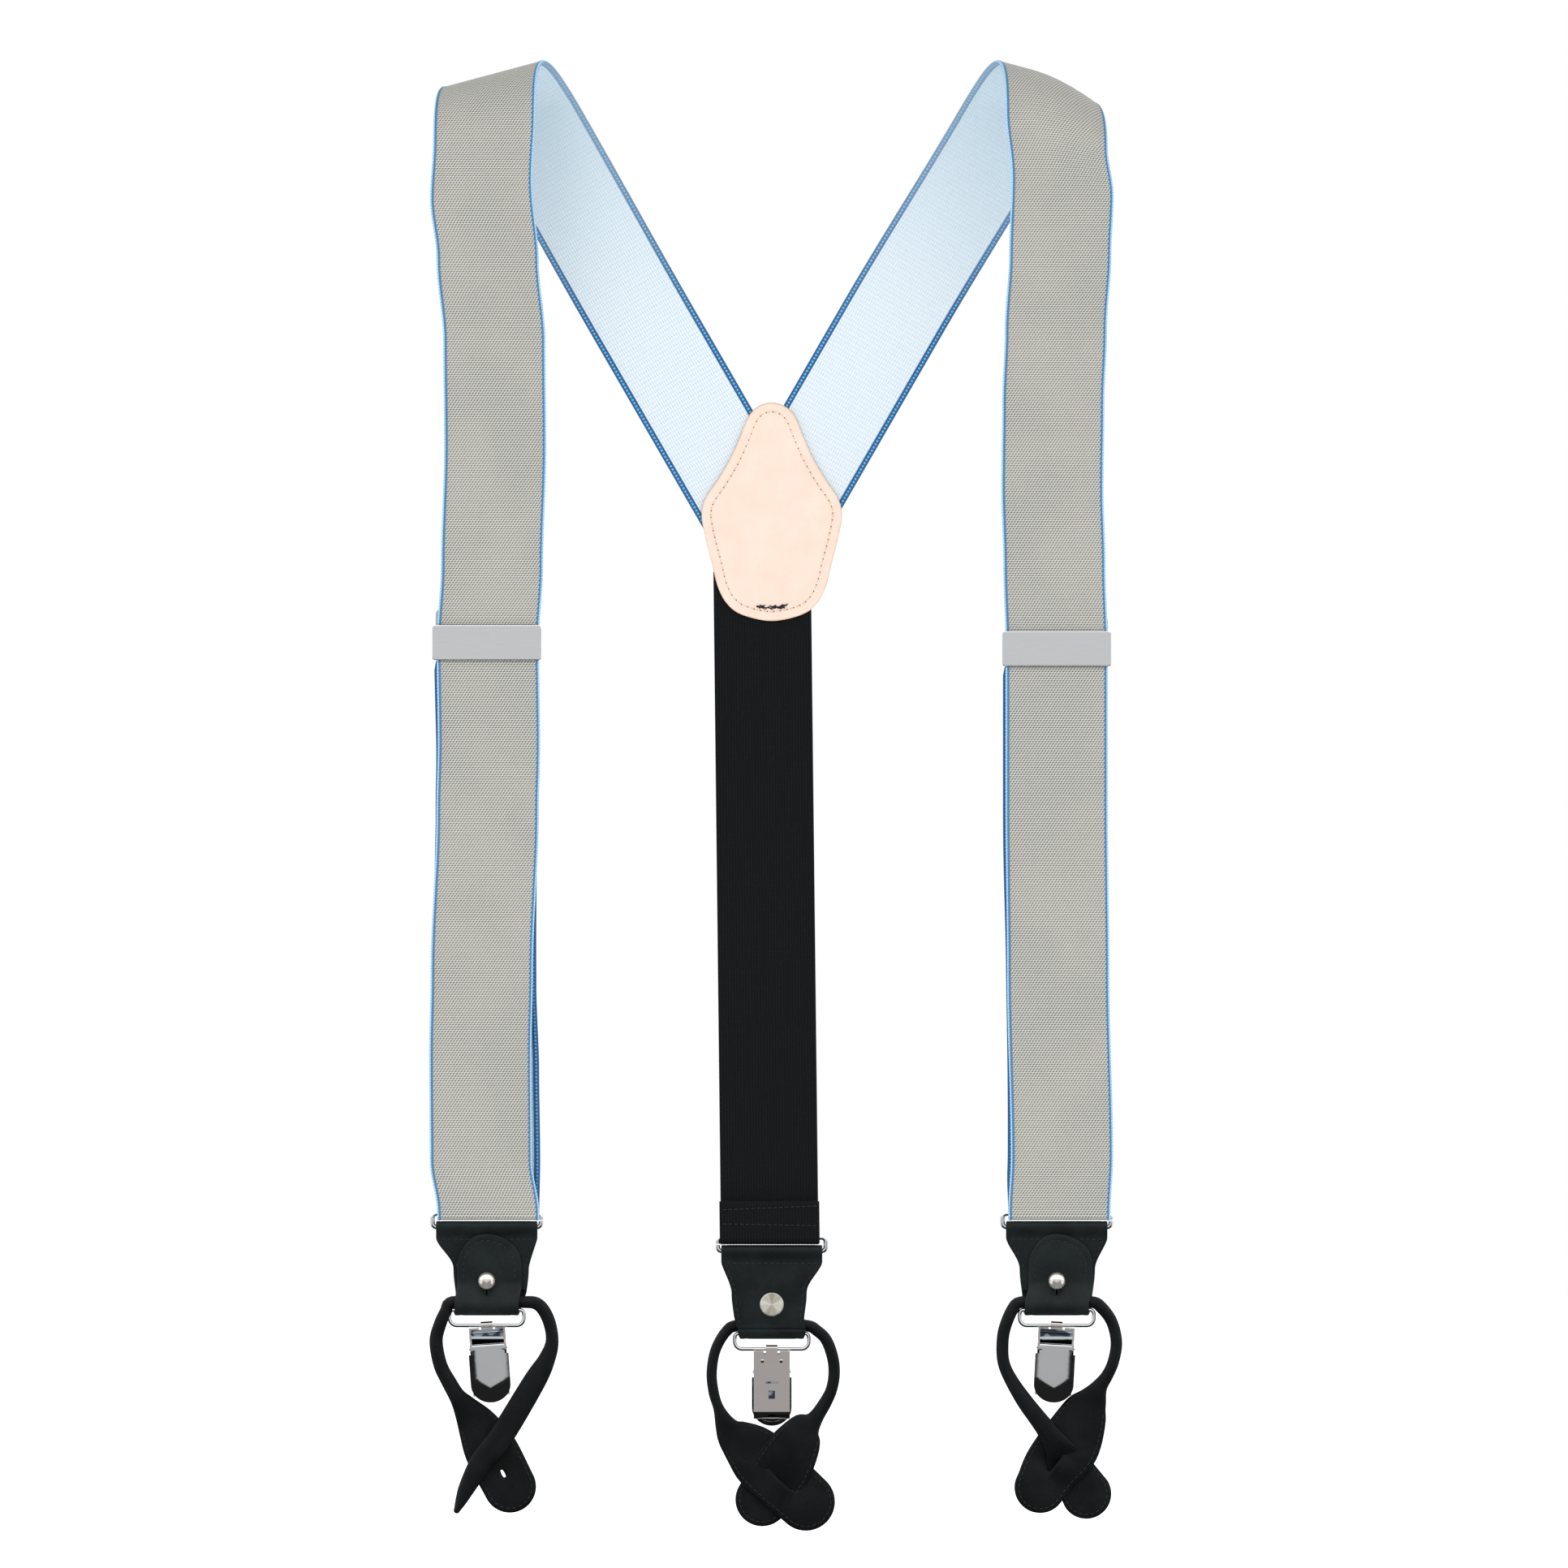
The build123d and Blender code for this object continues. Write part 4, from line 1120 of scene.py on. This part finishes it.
def leather_tongue(end):
    """Tongue with a rounded top, sewn round its edge, buttoned over the ball stud."""
    path, straight_end = flap_path(end)
    row = np.arange(len(path))
    above = np.maximum(path[:, 1] - straight_end, 0)
    width = np.sqrt(np.maximum(FLAP_HALF**2 - above**2, 0.04))
    width = width + (FOLD_HALF - FLAP_HALF) * ease((4.5 - row * 0.5) / 4.5)
    columns = flap_columns()
    x = width[:, None] * columns
    up = above[:, None]
    tip = np.where(up > 0, FLAP_HALF - np.hypot(x, up), math.inf)
    mid, normal, half = ribbon(path, width, columns, 0.6, tip)
    inset = np.where(up > 0, tip, width[:, None] - np.abs(x))
    mid[..., 0] += flap_shift(end, x) * ease((row - 16) / 12)[:, None]
    half = half * (1 - 0.2 * np.exp(-((inset - FLAP_SEAM_IN) / 0.55) ** 2))
    kept = keyhole(mid, stud_height(end))
    verts, faces = slab(place_end(end, mid), turned(end, normal), half, kept)
    piece = make_piece("leather_tongue_" + end, verts, faces, [MATERIALS["black_flap"]])
    enter(piece, node="leather_flap_" + end)
    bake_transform(piece)
    end_stitches("stitches_tongue", end, [(tongue_seam(end, path, straight_end), -1)], "leather_flap")


def tongue_seam(end, path, straight_end):
    """Up the left edge, round the top and down the right edge, in the end's own frame."""
    r = FLAP_HALF - FLAP_SEAM_IN
    flat = path[(np.arange(len(path)) > 30) & (path[:, 1] <= straight_end)]
    level = LEATHER_HALF * 0.8
    left = [(-r, y - level, z) for y, z in flat]
    over = [(-r * math.cos(t), flat[-1, 0] - level, straight_end + r * math.sin(t))
            for t in np.linspace(0.05, math.pi - 0.05, 40)]
    right = [(-x, y, z) for x, y, z in left[::-1]]
    points = np.array(left + over + right)
    points[:, 0] += flap_shift(end, points[:, 0])
    return points


def stud_height(end):
    low, high = box("ball_stud_" + end)
    return (low[2] + high[2]) / 2 - joint_at("leather_swing_" + end)[2]


# ---- button-tab runners -------------------------------------------------------------
# Each arm from where the cord leaves the fold to the centre of its round end, measured from
# the cord's middle and as seen from the front: (x, z, half width, depth), with a negative
# depth nearer the viewer.
CORD_HALF = 2.05
TAB_HALF_THICK = 1.0
ARMS = {
    ("left", "left"): [
        (-14.0, -3.2, 2.1, 0), (-16.1, -8.0, 2.2, 0), (-17.3, -13.6, 2.3, 0), (-15.8, -21.6, 2.4, 0),
        (-12.6, -27.9, 2.6, 0), (-10.2, -32.0, 2.9, 0.2), (-7.5, -35.7, 4.3, 0.8),
        (-3.1, -42.2, 7.1, 1.0), (1.5, -50.8, 9.1, 1.1), (7.9, -63.1, 9.0, 1.1),
    ],
    ("left", "right"): [
        (17.4, -0.7, 2.2, 0), (20.9, -5.5, 2.2, 0), (22.4, -12.8, 2.2, 0), (20.7, -19.2, 2.9, -0.4),
        (16.3, -27.2, 3.9, -1.4), (5.2, -45.6, 4.2, -2.4), (-1.6, -54.4, 3.9, -2.4),
        (-6.4, -62.8, 3.0, -1.8), (-8.6, -67.6, 2.1, -1.4), (-10.2, -71.2, 1.1, -1.2),
    ],
    ("right", "left"): [
        (-15.0, -2.3, 2.1, 0), (-17.9, -9.3, 2.1, 0), (-18.6, -15.8, 2.1, 0), (-18.0, -21.3, 2.1, 0),
        (-15.5, -26.8, 2.3, -0.6), (-10.9, -34.0, 2.8, -2.0), (-4.5, -42.4, 3.3, -2.7),
        (0.2, -49.1, 4.4, -2.3), (3.5, -55.3, 7.0, 0.8), (10.1, -65.6, 8.6, 1.7),
    ],
    ("right", "right"): [
        (15.2, -1.8, 2.1, 0), (18.8, -6.7, 2.0, 0), (20.4, -13.6, 2.0, 0), (19.4, -20.2, 2.0, 0),
        (17.3, -25.0, 2.1, 0), (14.7, -28.8, 2.8, 0), (12.4, -32.9, 5.1, 0), (9.7, -37.6, 7.9, 0),
        (4.4, -48.6, 10.6, 0), (-1.5, -56.3, 10.0, 0), (-5.7, -63.4, 8.8, 0),
    ],
    ("rear", "left"): [
        (-15.7, -2.1, 1.9, 0), (-19.3, -8.4, 1.8, 0), (-20.6, -16.1, 1.8, 0), (-19.9, -23.0, 1.8, 0),
        (-18.2, -28.4, 1.9, 0), (-15.8, -34.1, 3.8, 0), (-13.3, -37.4, 6.1, 0), (-7.2, -42.7, 9.4, 0),
        (-1.2, -48.6, 10.5, 0), (11.7, -60.4, 10.0, 0),
    ],
    ("rear", "right"): [
        (15.6, -1.8, 2.0, 0), (18.8, -5.1, 2.0, 0), (20.9, -11.0, 2.0, 0), (21.4, -16.4, 2.0, 0),
        (20.6, -21.5, 2.0, 0), (18.6, -26.0, 2.2, 0), (14.7, -32.0, 2.9, -0.6), (11.7, -35.1, 6.0, -1.7),
        (8.2, -41.0, 8.6, -2.1), (3.0, -50.0, 10.0, -0.6), (-3.3, -59.7, 9.2, 2.0),
    ],
}
# The arm that holds the other one in its slit: which of its halves is pushed back, where
# along the tab the slit lies, as distances back from the round end's centre, and half the
# slit's width.
SLITS = {
    ("left", "left"): (0, 2.6, 9.0, 0.12), ("right", "right"): (-1, 3.8, 20.0, 0.08),
    ("rear", "left"): (1, 3.6, 22.5, 0.08),
}
NO_SLIT = (0, 0, 0, 0.3)
SLIT_PUSH, SLIT_OPEN = 1.7, 0.45    # how far a slit's lips part, in depth and in width
TAB_SEAM_IN = 1.5
HALF_COLUMNS = np.sin(np.linspace(0, math.pi / 2, 12))[1:]
MIDDLE = len(HALF_COLUMNS)
# as shares of the half width; the middle two are moved onto the slit's lips
ARM_COLUMNS = np.concatenate([-HALF_COLUMNS[::-1], [0, 0], HALF_COLUMNS])


def arm_path(end, side):
    """(x, z, half width, depth) along an arm and how far each row is past its end's centre."""
    keys = [(0, 0, CORD_HALF, 0), (SIDES[side] * FOLD_HALF, 0, CORD_HALF, 0)] + ARMS[end, side]
    path, run = smooth_path(keys, 0.9)
    path[:, 1] = np.minimum(path[:, 1], 0)
    last = path[-1]
    heading = unit(last[:2] - path[-4, :2])
    beyond = []
    for t in np.linspace(0.08, math.pi / 2 - 0.03, 15):
        place = last[:2] + heading * last[2] * math.sin(t)
        beyond.append((*place, last[2] * math.cos(t), last[3]))
    reach = np.hypot(*(np.array(beyond)[:, :2] - last[:2]).T)
    return np.vstack([path, beyond]), np.concatenate([run - run[-1], reach])


def arm_shares(half_width, slit):
    """The columns of each row, with the middle two on the lips of the slit."""
    share = np.tile(ARM_COLUMNS, (len(half_width), 1))
    lip = slit / np.maximum(half_width, 3.0)
    share[:, MIDDLE] = -lip
    share[:, MIDDLE + 1] = lip
    share[:, MIDDLE - 1] = np.minimum(share[:, MIDDLE - 1], -lip - 0.03)
    share[:, MIDDLE + 2] = np.maximum(share[:, MIDDLE + 2], lip + 0.03)
    return share


def arm_half(share, half_width, past):
    """Half thickness: a round cord that flattens into a tab with a round end."""
    widest = half_width[np.argmin(np.abs(past))]
    flat = ease((np.where(past > 0, widest, half_width) - CORD_HALF) / 5.0)
    thick = CORD_HALF + (TAB_HALF_THICK - CORD_HALF) * flat
    power = (2 + 1.6 * flat)[:, None]
    from_centre = np.hypot(share * half_width[:, None], past[:, None]) / widest
    radial = np.clip(np.where(past[:, None] > 0, from_centre, np.abs(share)), 0, 1)
    return thick[:, None] * np.maximum(1 - radial**power, 0) ** (1 / power)


def arm_grid(end, side, path, past):
    """Mid points, half thickness and kept cells of one arm."""
    tangent = unit(np.gradient(path[:, :2], axis=0))
    across = np.stack([-tangent[:, 1], np.zeros(len(path)), tangent[:, 0]], axis=1)
    across *= np.sign(across[len(path) // 2, 0])
    pushed, low, high, slit = SLITS.get((end, side), NO_SLIT)
    half_width = path[:, 2]
    share = arm_shares(half_width, slit)
    inside = (past > -high) & (past < -low)
    window = np.clip((past + high) / (high - low + 1e-6), 0, 1)
    mouth = np.where(inside, np.sin(window**1.6 * math.pi) ** 2, 0)
    parting = mouth[:, None] * (1 - np.abs(share)) * np.sign(share)
    x = share * half_width[:, None] + SLIT_OPEN * parting
    mid = path[:, None, [0, 3, 1]] + x[..., None] * across[:, None]
    mid[..., 1] += SLIT_PUSH * pushed * parting
    kept = np.ones((len(path) - 1, len(ARM_COLUMNS) - 1), bool)
    gaping = mouth > 0.3
    kept[:, MIDDLE] = ~(gaping[:-1] & gaping[1:])
    return mid, arm_half(share, half_width, past), kept


def tab_seams(path, past, mid, half):
    """Stitches near a tab's edges and round its end, on both faces; none on a narrow tab."""
    wide = path[:, 2] > 6.5
    if wide.sum() < 8:
        return []
    run = wide & (past < 0.1)
    x, z, widest, depth = path[np.argmin(np.abs(past))]
    radius = widest - TAB_SEAM_IN
    heading = path[-1, :2] - path[-6, :2]
    start = math.atan2(heading[1], heading[0])
    turns = np.linspace(start - math.pi / 2, start + math.pi / 2, 30)
    seams = []
    for out in (-1, 1):
        for edge in (-1, 1):
            column = np.argmin(np.abs(ARM_COLUMNS - edge * 0.84))
            points = mid[run, column]
            points[:, 1] += out * (half[run, column] - 0.02)
            seams.append(sew(points, out, TAB_STITCH))
        level = depth + out * TAB_HALF_THICK * 0.86
        points = [(x + radius * math.cos(t), level, z + radius * math.sin(t)) for t in turns]
        seams.append(sew(points, out, TAB_STITCH))
    return seams


def runner(end):
    """Rolled cord through the fold, opening into two flat tabs laced through each other."""
    parts, seams = [], []
    for side in SIDES:
        path, past = arm_path(end, side)
        mid, half, kept = arm_grid(end, side, path, past)
        parts.append(slab(mid, np.array([0.0, -1.0, 0.0]), half, kept))
        seams += tab_seams(path, past, mid, half)
    body = "button_runner_" + end
    for name, pieces, material, node in (("runner_", parts, "black_soft", body),
                                         ("stitches_runner_", seams, "black_thread", None)):
        verts, faces = merge(pieces)
        verts = verts + joint_at("runner_swing_" + end)
        piece = make_piece(name + end, verts, faces, [MATERIALS[material]])
        enter(piece, body, node)


# ---- hardware -----------------------------------------------------------------------
def finish_hardware():
    """Gives every metal CAD node its plated material."""
    plated = {
        "ball_stud": "nickel", "stud_cap": "brushed", "clip_lever": "chrome_lever",
        "clip_body": "chrome_plate", "clip_jaw": "chrome_jaw_painted_reflection", "adjuster": "satin",
    }
    for name, obj in frame["nodes"].items():
        kinds = [kind for start, kind in plated.items() if name.startswith(start)]
        obj.data.materials.clear()
        obj.data.materials.append(MATERIALS[kinds[0] if kinds else "chrome"])


# ---- light, floor and camera --------------------------------------------------------
FRAME_WIDTH = 0.5367        # metres across the picture at the front straps
VIEW_CENTRE = (0.0042, -0.025, -0.0933)


def world_light():
    """Even white surroundings; what the metal mirrors has a bright top and a dark front floor."""
    world = bpy.data.worlds.new("studio")
    bpy.context.scene.world = world
    world.use_nodes = True
    nodes = Nodes(world.node_tree)
    x, _, z = nodes.split(nodes.add("TexCoord").outputs["Generated"])
    sideways = nodes.math("ABSOLUTE", x)
    slope = nodes.math("SUBTRACT", nodes.math("MULTIPLY", sideways, 0.62), z)
    mirrored = nodes.ramp(slope, 0.36, 0.44, 0.60, 0.02)
    mirrored = nodes.math("ADD", mirrored, nodes.ramp(z, 0.25, 0.5, 0.0, 0.75))
    mirrored = nodes.math("ADD", mirrored, nodes.ramp(sideways, 0.80, 0.9, 0.0, 0.9))
    ray = nodes.add("LightPath").outputs
    flat = nodes.ramp(ray["Is Camera Ray"], 0, 1, 0.74, 1.0)
    mix = nodes.add("Mix", data_type="FLOAT")
    for index, value in ((0, ray["Is Glossy Ray"]), (2, flat), (3, mirrored)):
        nodes.put(mix.inputs[index], value)
    background = world.node_tree.nodes["Background"]
    nodes.put(background.inputs["Strength"], mix.outputs[0])
    nodes.put(background.inputs["Color"], (1, 1, 1))


def area_light(name, location, target, size, power):
    data = bpy.data.lights.new(name, "AREA")
    data.shape = "DISK"
    data.size = size
    data.energy = power
    lamp = bpy.data.objects.new(name, data)
    lamp.location = location
    aim(lamp, target)
    lamp.visible_glossy = False
    bpy.context.scene.collection.objects.link(lamp)


def aim(obj, target):
    heading = Vector(target) - Vector(obj.location)
    obj.rotation_euler = heading.to_track_quat("-Z", "Y").to_euler()


def floor():
    low, _ = cad_box
    level = low[2] / MM - 12
    verts = [(-6e3, -6e3, level), (6e3, -6e3, level), (6e3, 6e3, level), (-6e3, 6e3, level)]
    m = Shader("floor", Roughness=0.9, Emission_Strength=0.45)
    white = m.mix(m.noise(400.0), srgb(252, 252, 252), srgb(255, 255, 255))
    m.set("Base Color", white)
    m.set("Emission Color", white)
    plane = make_piece("studio_floor", verts, [(0, 1, 2, 3)], [m.material])
    plane.visible_glossy = False


def studio():
    world_light()
    floor()
    centre = (0, 0, -0.09)
    area_light("key_light", (-0.9, -1.6, 1.1), centre, 1.2, 9.0)
    area_light("fill_light", (1.2, -1.4, 0.3), centre, 1.4, 3.0)
    area_light("back_light", (0.4, 1.8, 1.0), centre, 1.4, 7.0)
    data = bpy.data.cameras.new("camera")
    data.lens = 800
    data.sensor_width = 36
    data.clip_start, data.clip_end = 0.05, 50
    camera = bpy.data.objects.new("camera", data)
    distance = FRAME_WIDTH * data.lens / data.sensor_width
    camera.location = (VIEW_CENTRE[0], VIEW_CENTRE[1] - distance, VIEW_CENTRE[2])
    camera.rotation_euler = (math.pi / 2, 0, 0)
    bpy.context.scene.collection.objects.link(camera)
    bpy.context.scene.camera = camera
    bpy.context.scene.view_settings.view_transform = "Standard"


# ---- build --------------------------------------------------------------------------
for side in SIDES:
    shoulder_webbing(side)
    lower_webbing(side)
rear_elastic()
tan_face = patch("patch_tan", "back_patch_inner", -1, "tan", "tan_edge")
needle_holes(patch_seam("patch_tan", tan_face, -1, "tan_thread"))
black_face = patch("patch_black", "back_patch_outer", 1, "black", "black")
patch_seam("patch_black", black_face, 1, "black_thread")
bar_tack(tan_face, box("back_patch_inner")[0][2])
for end in ENDS:
    leather_body(end)
    leather_tongue(end)
    runner(end)
finish_hardware()
studio()
